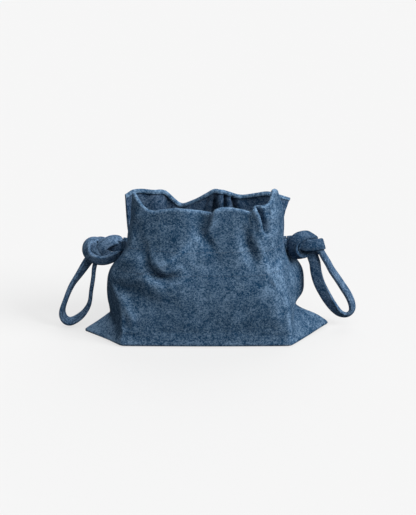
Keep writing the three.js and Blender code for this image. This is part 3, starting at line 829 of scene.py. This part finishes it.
def cloth_layers(bm):
    """Layers of a mesh for its flat cut as a UV map, its paleness from real wear and painted light and shade,
    and its place at rest.
    """
    kinds = (
        (bm.loops.layers.uv, "flat cloth"), (bm.verts.layers.float, "wear"),
        (bm.verts.layers.float_vector, "place"),
    )
    return [kind.get(name) or kind.new(name) for kind, name in kinds]


def grid_sheet(name, material, columns, rows, at):
    """Sheet of cloth on a grid, from the place, the paleness from real wear and painted light and shade, and
    the flat place of each column and row.
    """
    bm = bmesh.new()
    bmesh.ops.create_grid(bm, x_segments=columns, y_segments=rows, size=1)
    layer, wear, rest = cloth_layers(bm)
    flats = {}
    for vert in bm.verts:
        column = round((vert.co.x + 1) / 2 * columns)
        row = round((vert.co.y + 1) / 2 * rows)
        vert.co, vert[wear], flats[vert] = at(column, row)
        vert[rest] = vert.co
    for face in bm.faces:
        for loop in face.loops:
            loop[layer].uv = flats[loop.vert]
    return piece_from(bm, name, material)


def cloth_sheet(name, material, side, lines, wear_and_light_rows):
    """Sheet of cloth on rows of places; its outer face looks to the given side."""
    ups = [running_lengths(line) for line in zip(*lines)]
    acrosses = [running_lengths(line) for line in lines]

    def at(column, row):
        column = COLUMNS - column if side == BACK else column
        across = acrosses[row][column] - acrosses[row][COLUMNS // 2]
        return lines[row][column], wear_and_light_rows[row][column], (across, ups[column][row])

    return grid_sheet(name, material, COLUMNS, len(lines) - 1, at)


def give_thickness(piece, thickness):
    """Live wall thickness of a sheet, with its edges rounded off."""
    wall = piece.modifiers.new("cloth thickness", "SOLIDIFY")
    wall.thickness = thickness
    wall.offset = 0
    soft = piece.modifiers.new("soft edges", "BEVEL")
    soft.width = EDGE_ROUND * thickness
    soft.segments = 2
    soft.limit_method = "ANGLE"
    soft.angle_limit = math.radians(EDGE_ANGLE)


def strap_outline(width, thick):
    """Outline of a folded strap, with a groove along its sewn edge."""
    flatness, fullness = STRAP_ROUNDING
    outline = []
    for side in range(STRAP_SIDES):
        angle = 2 * math.pi * side / STRAP_SIDES
        across = math.copysign(abs(math.cos(angle)) ** flatness, math.cos(angle))
        over = math.copysign(abs(math.sin(angle)) ** fullness, math.sin(angle))
        groove = STRAP_GROOVE if side == 0 else 1.0
        outline.append((across * width / 2 * groove, over * thick / 2))
    return outline


def frames_along(points, flats):
    """Directions across and over a strap whose flat faces the given way along its route."""
    frames = []
    before = None
    for index, flat in enumerate(flats):
        along = way_along(points, index)
        over = flat - along * flat.dot(along)
        if over.length < TINY:
            over = before
        over.normalize()
        if before is not None and over.dot(before) < 0:
            over = -over
        before = over
        frames.append((along.cross(over).normalized(), over))
    return frames


def settle_order(sequence, places, linked):
    """Puts a strap's edges or faces in ring order, since an extrusion orders them anew at each run."""
    fresh = dict.fromkeys(item for vert in places for item in linked(vert))
    ranked = sorted(fresh, key=lambda item: sorted(places[vert] for vert in item.verts))
    for index, item in enumerate(ranked, len(sequence) - len(ranked)):
        item.index = index
    sequence.sort()


def add_strap(bm, points, flats, width, thick, painted_light):
    """Folded strap along a route, extruded ring by ring from its outline and closed at both ends."""
    layer, wear, rest = cloth_layers(bm)
    outline = strap_outline(width, thick)
    frames = frames_along(points, flats)
    ring = bmesh.ops.create_circle(bm, cap_ends=False, radius=1, segments=STRAP_SIDES)["verts"]
    order = sorted(ring, key=lambda vert: math.atan2(vert.co.y, vert.co.x) % (2 * math.pi))
    places = {vert: (0, side) for side, vert in enumerate(order)}
    edges = list(dict.fromkeys(edge for vert in ring for edge in vert.link_edges))
    first = list(edges)
    walls = []
    for step in range(1, len(points)):
        made = bmesh.ops.extrude_edge_only(bm, edges=edges)["geom"]
        verts = [item for item in made if isinstance(item, bmesh.types.BMVert)]
        walls += [item for item in made if isinstance(item, bmesh.types.BMFace)]
        fresh = set(verts)
        for vert in verts:
            others = [edge.other_vert(vert) for edge in vert.link_edges]
            old = next(other for other in others if other not in fresh)
            places[vert] = (step, places[old][1])
        edges = [
            item for item in made
            if isinstance(item, bmesh.types.BMEdge) and item.verts[0] in fresh and item.verts[1] in fresh
        ]
    for vert, (step, side) in places.items():
        across, over = frames[step]
        right, up = outline[side]
        vert.co = points[step] + across * right + over * up
        vert[rest] = vert.co
        edge = abs(right) / (width / 2)
        # Painted light of the knot or loop, plus paler worn edges
        vert[wear] = painted_light + EDGE_FADE * smooth_step((edge - EDGE_START) / (1 - EDGE_START))
    lengths = running_lengths(points)
    around = running_lengths([Vector(corner) for corner in (*outline, outline[0])])
    for face in walls:
        sides = {places[loop.vert][1] for loop in face.loops}
        for loop in face.loops:
            step, side = places[loop.vert]
            if side == 0 and STRAP_SIDES - 1 in sides:
                side = STRAP_SIDES
            loop[layer].uv = (around[side], lengths[step])
    caps = []
    for rim in (first, edges):
        caps += bmesh.ops.edgeloop_fill(bm, edges=rim)["faces"]
    bmesh.ops.recalc_face_normals(bm, faces=walls + caps)
    settle_order(bm.edges, places, lambda vert: vert.link_edges)
    settle_order(bm.faces, places, lambda vert: vert.link_faces)


# Materials

def node_group(name, inputs, outputs):
    """Empty shader group with named sockets, and its two end nodes."""
    group = bpy.data.node_groups.new(name, "ShaderNodeTree")
    for label, kind, default in inputs:
        socket = group.interface.new_socket(label, in_out="INPUT", socket_type=kind)
        if default is not None:
            socket.default_value = default
    for label, kind in outputs:
        group.interface.new_socket(label, in_out="OUTPUT", socket_type=kind)
    return group, group.nodes.new("NodeGroupInput"), group.nodes.new("NodeGroupOutput")


class Wiring:
    """Short ways to add and join nodes in one tree."""

    def __init__(self, tree):
        self.tree = tree

    def add(self, kind, **settings):
        node = self.tree.nodes.new(kind)
        for label, value in settings.items():
            setattr(node, label, value)
        return node

    def join(self, source, target):
        self.tree.links.new(source, target)

    def feed(self, node, **values):
        """Gives named inputs of a node a value, or a link from another node's output."""
        for label, value in values.items():
            self.give(node.inputs[label.replace("_", " ")], value)

    def give(self, socket, value):
        if isinstance(value, bpy.types.NodeSocket):
            self.join(value, socket)
        else:
            socket.default_value = value

    def math(self, operation, first, second=0.0):
        node = self.add("ShaderNodeMath", operation=operation)
        self.give(node.inputs[0], first)
        self.give(node.inputs[1], second)
        return node.outputs[0]

    def scaled(self, value, factor, offset=0.0):
        """Value times a factor, with an offset where there is one."""
        product = self.math("MULTIPLY", value, factor)
        return self.math("ADD", product, offset) if offset else product

    def mix(self, share, first, second, blend="MIX"):
        node = self.add("ShaderNodeMix", data_type="RGBA", blend_type=blend)
        self.give(node.inputs["Factor"], share)
        self.give(node.inputs[6], first)
        self.give(node.inputs[7], second)
        return node.outputs[2]

    def noise(self, vector, scale, detail):
        node = self.add("ShaderNodeTexNoise")
        self.feed(node, Vector=vector, Scale=scale, Detail=detail)
        return node.outputs["Fac"]

    def cells(self, vector, scale):
        node = self.add("ShaderNodeTexVoronoi", feature="F1")
        self.feed(node, Vector=vector, Scale=scale)
        split = self.add("ShaderNodeSeparateColor")
        self.feed(split, Color=node.outputs["Color"])
        return split.outputs["Red"]

    def spread(self, value, low, high):
        node = self.add("ShaderNodeMapRange", clamp=True)
        self.feed(node, Value=value, From_Min=low, From_Max=high)
        return node.outputs["Result"]

    def within(self, value, low, high):
        """One below the low value and nothing above the high one."""
        return self.math("SUBTRACT", 1.0, self.spread(value, low, high))

    def bump(self, shader, height, strength, distance):
        node = self.add("ShaderNodeBump")
        self.feed(node, Strength=strength, Distance=distance, Height=height)
        self.join(node.outputs["Normal"], shader.inputs["Normal"])

    def seen(self):
        """One for rays that start at the camera, also by way of gloss or glass, and nothing for lighting."""
        rays = self.add("ShaderNodeLightPath")
        seen = self.math("MAXIMUM", rays.outputs["Is Camera Ray"], rays.outputs["Is Glossy Ray"])
        return self.math("MAXIMUM", seen, rays.outputs["Is Transmission Ray"])


def heather_group():
    """Washed denim: flecks from the place at rest, twill from the flat cut, and paleness from the wear
    attribute, which holds real wear together with painted light and shade.
    """
    name = "Heathered denim"
    if name in bpy.data.node_groups:
        return bpy.data.node_groups[name]
    group, start, end = node_group(
        name,
        (
            ("Flat", "NodeSocketVector", None),
            ("Place", "NodeSocketVector", None),
            ("Cloth", "NodeSocketColor", None),
            ("Wear", "NodeSocketFloat", 0.0),
        ),
        (("Color", "NodeSocketColor"), ("Roughness", "NodeSocketFloat"), ("Height", "NodeSocketFloat")),
    )
    wire = Wiring(group)
    flat, place, cloth, wear = (start.outputs[label] for label in ("Flat", "Place", "Cloth", "Wear"))
    flecks = wire.scaled(wire.cells(place, FLECK_SCALE), FLECK_SHARE)
    grain = wire.scaled(wire.noise(place, GRAIN_SCALE, FLECK_DETAIL), GRAIN_SHARE)
    cloud = wire.scaled(wire.noise(place, CLOUD_SCALE, FLECK_DETAIL), CLOUD_SHARE)
    speckle = wire.math("ADD", wire.math("ADD", flecks, grain), cloud)
    # The wear attribute shifts the flecks paler or darker: real wear together with painted light and shade
    worn_and_lit = wire.math("ADD", speckle, wire.scaled(wear, WEAR_AND_LIGHT_SHIFT))
    level = wire.math("POWER", wire.spread(worn_and_lit, *FLECK_RANGE), FLECK_POWER)
    dark = wire.mix(1.0, cloth, DARK_TINT, "MULTIPLY")
    light = wire.mix(1.0, cloth, LIGHT_TINT, "MULTIPLY")
    colour = wire.mix(level, dark, light)
    wash = wire.spread(wire.noise(place, WASH_SCALE, WASH_DETAIL), *WASH_RANGE)
    worn = wire.mix(wire.scaled(wash, WASH_SHARE), colour, light)
    # The same attribute scales the tone: real wear together with painted light and shade
    tone = wire.scaled(wear, WEAR_AND_LIGHT_TONE, 1.0)
    twill = wire.add("ShaderNodeTexWave", wave_type="BANDS", bands_direction="DIAGONAL")
    wire.feed(twill, Vector=flat, Scale=TWILL_SCALE, Distortion=TWILL_DISTORTION, Detail=1)
    ribs = wire.scaled(twill.outputs["Fac"], TWILL_HEIGHT)
    wire.feed(
        end,
        Color=wire.mix(1.0, worn, tone, "MULTIPLY"),
        Height=wire.math("ADD", ribs, wire.scaled(speckle, FLECK_HEIGHT)),
        Roughness=wire.scaled(level, PALE_ROUGHNESS - DARK_ROUGHNESS, DARK_ROUGHNESS))
    return group


def sewn_group():
    """Row of sewn stitches along the edge of a strap: a mask of threads and of the dent round them."""
    name = "Sewn edge"
    if name in bpy.data.node_groups:
        return bpy.data.node_groups[name]
    group, start, end = node_group(
        name,
        (
            ("Flat", "NodeSocketVector", None),
            ("Line", "NodeSocketFloat", SEWN_LINES[0]),
            ("Pitch", "NodeSocketFloat", SEWN_PITCH),
        ),
        (("Thread", "NodeSocketFloat"), ("Dent", "NodeSocketFloat")),
    )
    wire = Wiring(group)
    split = wire.add("ShaderNodeSeparateXYZ")
    wire.feed(split, Vector=start.outputs["Flat"])
    away = wire.math("ABSOLUTE", wire.math("SUBTRACT", split.outputs["X"], start.outputs["Line"]))
    beat = wire.math("FRACT", wire.math("DIVIDE", split.outputs["Y"], start.outputs["Pitch"]))
    middle = wire.math("ABSOLUTE", wire.math("SUBTRACT", beat, 0.5))
    thread = wire.math("MULTIPLY", wire.within(away, *THREAD_EDGE), wire.within(middle, *STITCH_ENDS))
    wire.feed(end, Thread=thread, Dent=wire.within(away, *DENT_EDGE))
    return group


def plain_material(name):
    """Material with one Principled shader, and the means to wire it."""
    material = bpy.data.materials.new(name)
    material.use_nodes = True
    return material, Wiring(material.node_tree), material.node_tree.nodes["Principled BSDF"]


def colour_four(colour, factor=1.0):
    """Colour times a factor, with full alpha."""
    return (*(value * factor for value in colour), 1.0)


def denim_material(name, colour, sewn=False):
    """Denim of one colour; a strap's denim also has its rows of stitches."""
    if name in bpy.data.materials:
        return bpy.data.materials[name]
    material, wire, shader = plain_material(name)
    flat = wire.add("ShaderNodeUVMap", uv_map="flat cloth").outputs["UV"]
    wear = wire.add("ShaderNodeAttribute", attribute_name="wear").outputs["Fac"]
    place = wire.add("ShaderNodeAttribute", attribute_name="place").outputs["Vector"]
    heather = wire.add("ShaderNodeGroup", node_tree=heather_group())
    wire.feed(heather, Flat=flat, Place=place, Wear=wear, Cloth=colour_four(colour))
    tint = heather.outputs["Color"]
    height = heather.outputs["Height"]
    for line in SEWN_LINES if sewn else ():
        row = wire.add("ShaderNodeGroup", node_tree=sewn_group())
        wire.feed(row, Flat=flat, Line=line)
        dent, thread = row.outputs["Dent"], row.outputs["Thread"]
        # Painted shade in the dent beside the stitches
        tint = wire.mix(wire.scaled(dent, DENT_SHADE_SHARE), tint, DENT_SHADE)
        tint = wire.mix(wire.scaled(thread, THREAD_SHARE), tint, THREAD_TINT)
        height = wire.math("ADD", wire.math("SUBTRACT", height, dent), thread)
    wire.feed(
        shader, Base_Color=tint, Roughness=heather.outputs["Roughness"], Specular_IOR_Level=DENIM_SPECULAR)
    wire.bump(shader, height, DENIM_BUMP, DENIM_RELIEF)
    return material


def thread_material(colour):
    """Cotton thread with its plies."""
    name = "Cotton thread"
    if name in bpy.data.materials:
        return bpy.data.materials[name]
    material, wire, shader = plain_material(name)
    ply = wire.noise(wire.add("ShaderNodeTexCoord").outputs["Object"], PLY_SCALE, PLY_DETAIL)
    dark, light = (colour_four(colour, factor) for factor in PLY_FACTORS)
    tint = wire.mix(wire.spread(ply, *PLY_RANGE), dark, light)
    wire.feed(shader, Base_Color=tint, Roughness=PLY_ROUGHNESS)
    wire.bump(shader, ply, 1.0, PLY_RELIEF)
    return material


# Steps of the build

def close_mouth(piece, side, inset=0.0, taper=0.0):
    """Lets a piece bend with its side of the mouth: the rim moves in, the seams and the base stay.

    A layer inside the panel, by its inset less its taper, closes as far as the panel in front of it.
    """
    out, up = MOUTH_GROWTH[side]
    growth = Vector((0, side * out, up - out * taper))
    start = Vector((0, side * (MOUTH_WALL - inset) * MM, 0))
    end = start + growth * ((out ** 2 + up ** 2) / growth.length_squared)
    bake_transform(piece, "bag", MOUTH_BODIES[side], start=tuple(start), end=tuple(end))


def strap_piece(context, name, strands, painted_light=0.0, share=1.0):
    """Object with one or more straps, each given as points and the ways that their flats face."""
    sizes = context.scene.pouch_sizes
    material = denim_material("Strap denim", context.scene.pouch_colours.cord, sewn=True)
    bm = bmesh.new()
    for points, flats in strands:
        add_strap(bm, points, flats, sizes.strap_width * share, sizes.strap_thick, painted_light)
    piece = piece_from(bm, name, material)
    soft = piece.modifiers.new("soft edges", "SUBSURF")
    soft.levels = 1
    soft.render_levels = 1
    return piece


def run_route(side, lane):
    """Route of a cord in the casing, from one slit to the other, and the way that its flat faces."""
    points = []
    flats = []
    for step in range(RUN_STEPS):
        place, direction = panel_place(side, share_across(RUN_MARGIN, step, RUN_STEPS - 1), lane)
        flat = Vector((direction.x, direction.y, 0)).normalized()
        place -= flat * RUN_DEPTH * MM
        points.append(Vector((place.x, place.y, lane * MM)))
        flats.append(flat)
    return points, flats


def strand_route(hand_name, side):
    """Route of one strand through a knot and the way that its flat faces."""
    centre = Vector(KNOT_CENTRES[hand_name])
    rows = KNOT_STRANDS[hand_name, side]
    points = [(centre + Vector(place)) * MM for place, _ in rows]
    faces = [Vector(way).normalized() for _, way in rows]
    return even_curve(points, STRAND_STEPS, faces)


def loop_route(hand_name):
    """Route of a hanging loop, from inside the knot and back into it, and the way that its flat faces."""
    centre = Vector(KNOT_CENTRES[hand_name])
    first, last = LOOP_TOPS[hand_name]
    places = (*first, *LOOP_ROUTES[hand_name], *last)
    curve = even_curve([(centre + Vector((x, 0, z))) * MM for x, z in places], STRAND_STEPS)
    front = Vector((0, -1, 0))
    flats = []
    for index in range(STRAND_STEPS):
        share = index / (STRAND_STEPS - 1)
        turn = math.radians(smooth_through(TURN_SHARES, LOOP_TURNS[hand_name], share))
        inward = front.cross(way_along(curve, index))
        flats.append(inward * math.cos(turn) + front * math.sin(turn))
    return curve, flats


class POUCH_OT_set_stage(bpy.types.Operator):
    """Place the camera, the lamps and the pale floor"""

    bl_idname = "pouch.set_stage"
    bl_label = "Set the stage"

    def execute(self, context):
        scene = context.scene
        stage = scene.pouch_stage
        scene.view_settings.view_transform = "Standard"
        lens = bpy.data.cameras.new("photo camera")
        lens.lens = stage.lens
        lens.sensor_width = SENSOR_WIDTH
        camera = bpy.data.objects.new("photo camera", lens)
        away = Vector((0, -math.cos(stage.elevation), math.sin(stage.elevation)))
        camera.location = Vector(stage.aim) + away * stage.distance
        camera.rotation_euler = (math.pi / 2 - stage.elevation, 0, 0)
        scene.collection.objects.link(camera)
        scene.camera = camera
        for lamp in LAMPS:
            self.lamp(scene, *lamp)
        self.sky(scene, stage.backdrop)
        self.floor(stage.backdrop)
        return {"FINISHED"}

    @staticmethod
    def lamp(scene, name, strength, softness, turn):
        light = bpy.data.lights.new(name, "SUN")
        light.energy = strength
        light.angle = math.radians(softness)
        lamp = bpy.data.objects.new(name, light)
        lamp.rotation_euler = [math.radians(angle) for angle in turn]
        scene.collection.objects.link(lamp)

    @staticmethod
    def sky(scene, backdrop):
        world = bpy.data.worlds.new("studio")
        world.use_nodes = True
        wire = Wiring(world.node_tree)
        strength = wire.scaled(wire.seen(), backdrop - SKY_LIGHT, SKY_LIGHT)
        wire.feed(world.node_tree.nodes["Background"], Color=WHITE, Strength=strength)
        scene.world = world

    @staticmethod
    def floor(backdrop):
        bm = bmesh.new()
        bmesh.ops.create_grid(bm, x_segments=2, y_segments=2, size=FLOOR_HALF)
        material, wire, shader = plain_material("Pale floor")
        glow = wire.scaled(wire.seen(), backdrop - FLOOR_LIT)
        wire.feed(shader, Base_Color=FLOOR_GREY, Roughness=1, Emission_Color=WHITE, Emission_Strength=glow)
        wire.feed(shader, Specular_IOR_Level=0)
        floor = piece_from(bm, "floor", material, smooth=False)


class POUCH_OT_make_loops(bpy.types.Operator):
    """Hang the two cord loops under their knots"""

    bl_idname = "pouch.make_loops"
    bl_label = "Make the loops"

    def execute(self, context):
        for hand_name in HANDS:
            points, flats = loop_route(hand_name)
            # Each loop gets painted light, stronger on the left
            piece = strap_piece(
                context, f"{hand_name}_loop_strap", [(points, flats)], LOOP_LIGHT[hand_name])
            x, _, z = KNOT_CENTRES[hand_name]
            start, end = ((x * MM, 0, (z - under) * MM) for under in LOOP_BLEND)
            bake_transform(piece, f"{hand_name}_cord", f"{hand_name}_loop", start=start, end=end)
            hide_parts(f"{hand_name}_loop")
        return {"FINISHED"}


class POUCH_OT_make_knots(bpy.types.Operator):
    """Tie the doubled straps into a knot at each side"""

    bl_idname = "pouch.make_knots"
    bl_label = "Make the knots"

    def execute(self, context):
        for hand_name in HANDS:
            strands = [strand_route(hand_name, side) for side in SIDES.values()]
            # Each knot gets painted light on the left and painted shade on the right
            piece = strap_piece(context, f"{hand_name}_knot_straps", strands, KNOT_LIGHT[hand_name])
            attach(piece, f"{hand_name}_cord")
            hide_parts(f"{hand_name}_knot")
        return {"FINISHED"}


class POUCH_OT_make_leads(bpy.types.Operator):
    """Lead the straps out of the side slits to their knots"""

    bl_idname = "pouch.make_leads"
    bl_label = "Make the leads"

    def execute(self, context):
        for hand_name, hand in HANDS.items():
            slit, height = LEAD_STARTS[hand_name]
            start, end = ((hand * x * MM, 0, height * MM) for x in (slit, LEAD_ENDS[hand_name]))
            for side_name, side in SIDES.items():
                route = self.route(hand_name, side, start)
                piece = strap_piece(context, f"{hand_name}_{side_name}_lead_strap", [route])
                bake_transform(piece, "bag", f"{hand_name}_cord", start=start, end=end)
                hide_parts(f"{hand_name}_{side_name}_lead")
        return {"FINISHED"}

    @staticmethod
    def route(hand_name, side, slit):
        knot, ways = strand_route(hand_name, side)
        end = knot[0]
        start = Vector((slit[0], end.y, slit[2]))
        reach = (end - start).length / 3
        leaving = start + Vector((HANDS[hand_name], 0, 0)) * reach
        arriving = end + (knot[0] - knot[1]).normalized() * reach
        points = interpolate_bezier(start, leaving, arriving, end, SHORT_STEPS)
        return points, [ways[0]] * SHORT_STEPS


class POUCH_OT_make_runs(bpy.types.Operator):
    """Draw the cords through the casing and round their far side"""

    bl_idname = "pouch.make_runs"
    bl_label = "Make the runs"

    def execute(self, context):
        for cord, lane in LANES.items():
            for side_name, side in SIDES.items():
                route = run_route(side, lane)
                piece = strap_piece(context, f"{cord}_{side_name}_run_strap", [route], share=RUN_WIDTH)
                close_mouth(piece, side, RUN_INSET)
                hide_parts(f"{cord}_cord_{side_name}_run")
            route = self.bight(lane, -HANDS[cord])
            piece = strap_piece(context, f"{cord}_bight_strap", [route], share=RUN_WIDTH)
            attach(piece, "bag")
            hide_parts(f"{cord}_cord_bight")
        return {"FINISHED"}

    @staticmethod
    def bight(lane, hand):
        index = 0 if hand == LEFT else -1
        front, front_ways = run_route(FRONT, lane)
        back, back_ways = run_route(BACK, lane)
        middle = (front[index].y + back[index].y) / 2
        turn = Vector((front[index].x + hand * BIGHT_REACH * MM, middle, lane * MM))
        flats = [front_ways[index], Vector((hand, 0, 0)), back_ways[index]]
        return even_curve([front[index], turn, back[index]], SHORT_STEPS, flats)


class POUCH_OT_make_panels(bpy.types.Operator):
    """Shape the front and back panels with their folds"""

    bl_idname = "pouch.make_panels"
    bl_label = "Make the panels"

    def execute(self, context):
        sizes = context.scene.pouch_sizes
        material = denim_material("Outer denim", context.scene.pouch_colours.denim)
        for side_name, side in SIDES.items():
            _, places, directions = panel_table(side)
            roll = rolled_rim(places, directions)
            # The panel's paleness mixes rubbed wear with painted light and shade
            wear = panel_wear_and_light(side)
            wear = wear + [wear[-1]] * len(roll)
            piece = cloth_sheet(f"{side_name}_panel_cloth", material, side, places + roll, wear)
            give_thickness(piece, sizes.cloth)
            close_mouth(piece, side)
            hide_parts(f"{side_name}_panel")
        return {"FINISHED"}


class POUCH_OT_make_facings(bpy.types.Operator):
    """Lay the facings behind the rim, so that they close the casing round the cords"""

    bl_idname = "pouch.make_facings"
    bl_label = "Make the facings"

    def execute(self, context):
        sizes = context.scene.pouch_sizes
        material = denim_material("Facing denim", context.scene.pouch_colours.facing)
        for side_name, side in SIDES.items():
            lines = []
            for height, line, ways in zip(*panel_table(side)):
                if not FACING_LOW <= height < RIM_ROW:
                    continue
                into = smooth_step((height - CASING_LOW + FACING_MARGIN) / FACING_EASE)
                out = smooth_step((CASING_TOP + FACING_MARGIN - height) / FACING_EASE)
                gap = sizes.facing_gap + (sizes.casing_depth - sizes.facing_gap) * into * out
                lines.append([point - way * gap for point, way in zip(line, ways)])
            # Painted light on the facings, paler inside where the walls shade them
            wear_and_light_rows = [[FACING_LIGHT] * (COLUMNS + 1)] * len(lines)
            piece = cloth_sheet(f"{side_name}_facing_cloth", material, -side, lines, wear_and_light_rows)
            give_thickness(piece, sizes.cloth * FACING_CLOTH)
            close_mouth(piece, side, FACING_INSET, FACING_TAPER)
            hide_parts(f"{side_name}_facing")
        return {"FINISHED"}


class POUCH_OT_make_stitching(bpy.types.Operator):
    """Sew the rows of stitches above and below the casing"""

    bl_idname = "pouch.make_stitching"
    bl_label = "Make the stitching"

    def execute(self, context):
        sizes = context.scene.pouch_sizes
        material = thread_material(context.scene.pouch_colours.thread)
        shares = [share_across(STITCH_MARGIN, step, COLUMNS) for step in range(COLUMNS + 1)]
        for side_name, side in SIDES.items():
            for row_name, height in (("lower", CASING_LOW), ("upper", CASING_TOP)):
                bm = bmesh.new()
                line = [panel_place(side, share, height) for share in shares]
                places = [place for place, _ in line]
                count = int(running_lengths(places)[-1] / sizes.stitch_pitch)
                for index, share in even_shares(places, count):
                    before, direction = line[index]
                    after = places[index + 1]
                    lift = direction * (sizes.cloth / 2 + sizes.thread * STITCH_LIFT)
                    place = before.lerp(after, share) + lift
                    self.stitch(bm, place, (after - before).normalized(), direction, sizes)
                piece = piece_from(bm, f"{side_name}_{row_name}_stitches", material)
                close_mouth(piece, side, -sizes.cloth / 2 / MM)
                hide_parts(f"{side_name}_{row_name}_stitching")
        return {"FINISHED"}

    @staticmethod
    def stitch(bm, place, along, over, sizes):
        across = over.cross(along).normalized()
        length = sizes.stitch_pitch * STITCH_LENGTH
        for vert in bmesh.ops.create_icosphere(bm, subdivisions=1, radius=1)["verts"]:
            shaped = along * (vert.co.x * length)
            shaped += across * (vert.co.y * sizes.thread / 2)
            shaped += over * (vert.co.z * sizes.thread / 2)
            vert.co = place + shaped


class POUCH_OT_make_seams(bpy.types.Operator):
    """Stand the seam allowances up inside the bag"""

    bl_idname = "pouch.make_seams"
    bl_label = "Make the seams"

    def execute(self, context):
        sizes = context.scene.pouch_sizes
        material = denim_material("Facing denim", context.scene.pouch_colours.facing)
        heights, places, _ = panel_table(FRONT)
        for hand_name, hand in HANDS.items():
            column = 0 if hand == LEFT else COLUMNS
            seam = [line[column] for height, line in zip(heights, places) if SEAM_LOW < height < SEAM_TOP]
            inner = Vector((-hand, 0, 0))
            piece = self.strip(f"{hand_name}_side_seam_cloth", material, seam, inner, sizes)
            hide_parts(f"{hand_name}_side_seam")
        up = Vector((0, 0, 1))
        floor = [point + up * sizes.cloth / 2 for point in places[0] if abs(point.x) < FLOOR_SEAM_HALF * MM]
        piece = self.strip("bottom_seam_cloth", material, floor, up, sizes)
        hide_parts("bottom_seam")
        return {"FINISHED"}

    @staticmethod
    def strip(name, material, line, inner, sizes):
        def at(step, row):
            share = row / SEAM_ROWS
            width = share * sizes.seam_allowance
            ripple = Vector((0, SEAM_RIPPLE * MM * math.sin(step * SEAM_WAVE) * share, 0))
            place = line[step] + inner * (sizes.cloth + width) + ripple
            return place, share ** 3, (width, step * SEAM_STEP * MM)

        piece = grid_sheet(name, material, len(line) - 1, SEAM_ROWS, at)
        give_thickness(piece, sizes.cloth * SEAM_CLOTH)
        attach(piece, "bag")
        return piece


class POUCH_PT_sidebar(bpy.types.Panel):
    """Steps of the pouch and the values that they use"""

    bl_idname = "POUCH_PT_sidebar"
    bl_label = "Denim pouch"
    bl_space_type = "VIEW_3D"
    bl_region_type = "UI"
    bl_category = "Pouch"

    def draw(self, context):
        for step in STEPS:
            self.layout.operator(step.bl_idname)
        for group in (context.scene.pouch_sizes, context.scene.pouch_colours, context.scene.pouch_stage):
            box = self.layout.box()
            for name in group.__annotations__:
                box.prop(group, name)


STEPS = (
    POUCH_OT_set_stage,
    POUCH_OT_make_loops,
    POUCH_OT_make_knots,
    POUCH_OT_make_leads,
    POUCH_OT_make_runs,
    POUCH_OT_make_panels,
    POUCH_OT_make_facings,
    POUCH_OT_make_stitching,
    POUCH_OT_make_seams,
)
CLASSES = (PouchSizes, PouchColours, PouchStage, *STEPS, POUCH_PT_sidebar)


def register():
    for item in CLASSES:
        bpy.utils.register_class(item)
    bpy.types.Scene.pouch_sizes = bpy.props.PointerProperty(type=PouchSizes)
    bpy.types.Scene.pouch_colours = bpy.props.PointerProperty(type=PouchColours)
    bpy.types.Scene.pouch_stage = bpy.props.PointerProperty(type=PouchStage)


def unregister():
    del bpy.types.Scene.pouch_stage
    del bpy.types.Scene.pouch_colours
    del bpy.types.Scene.pouch_sizes
    for item in reversed(CLASSES):
        bpy.utils.unregister_class(item)


def main():
    register()
    bpy.ops.pouch.set_stage()
    bpy.ops.pouch.make_loops()
    bpy.ops.pouch.make_knots()
    bpy.ops.pouch.make_leads()
    bpy.ops.pouch.make_runs()
    bpy.ops.pouch.make_panels()
    bpy.ops.pouch.make_facings()
    bpy.ops.pouch.make_stitching()
    bpy.ops.pouch.make_seams()


if __name__ == "__main__":
    main()
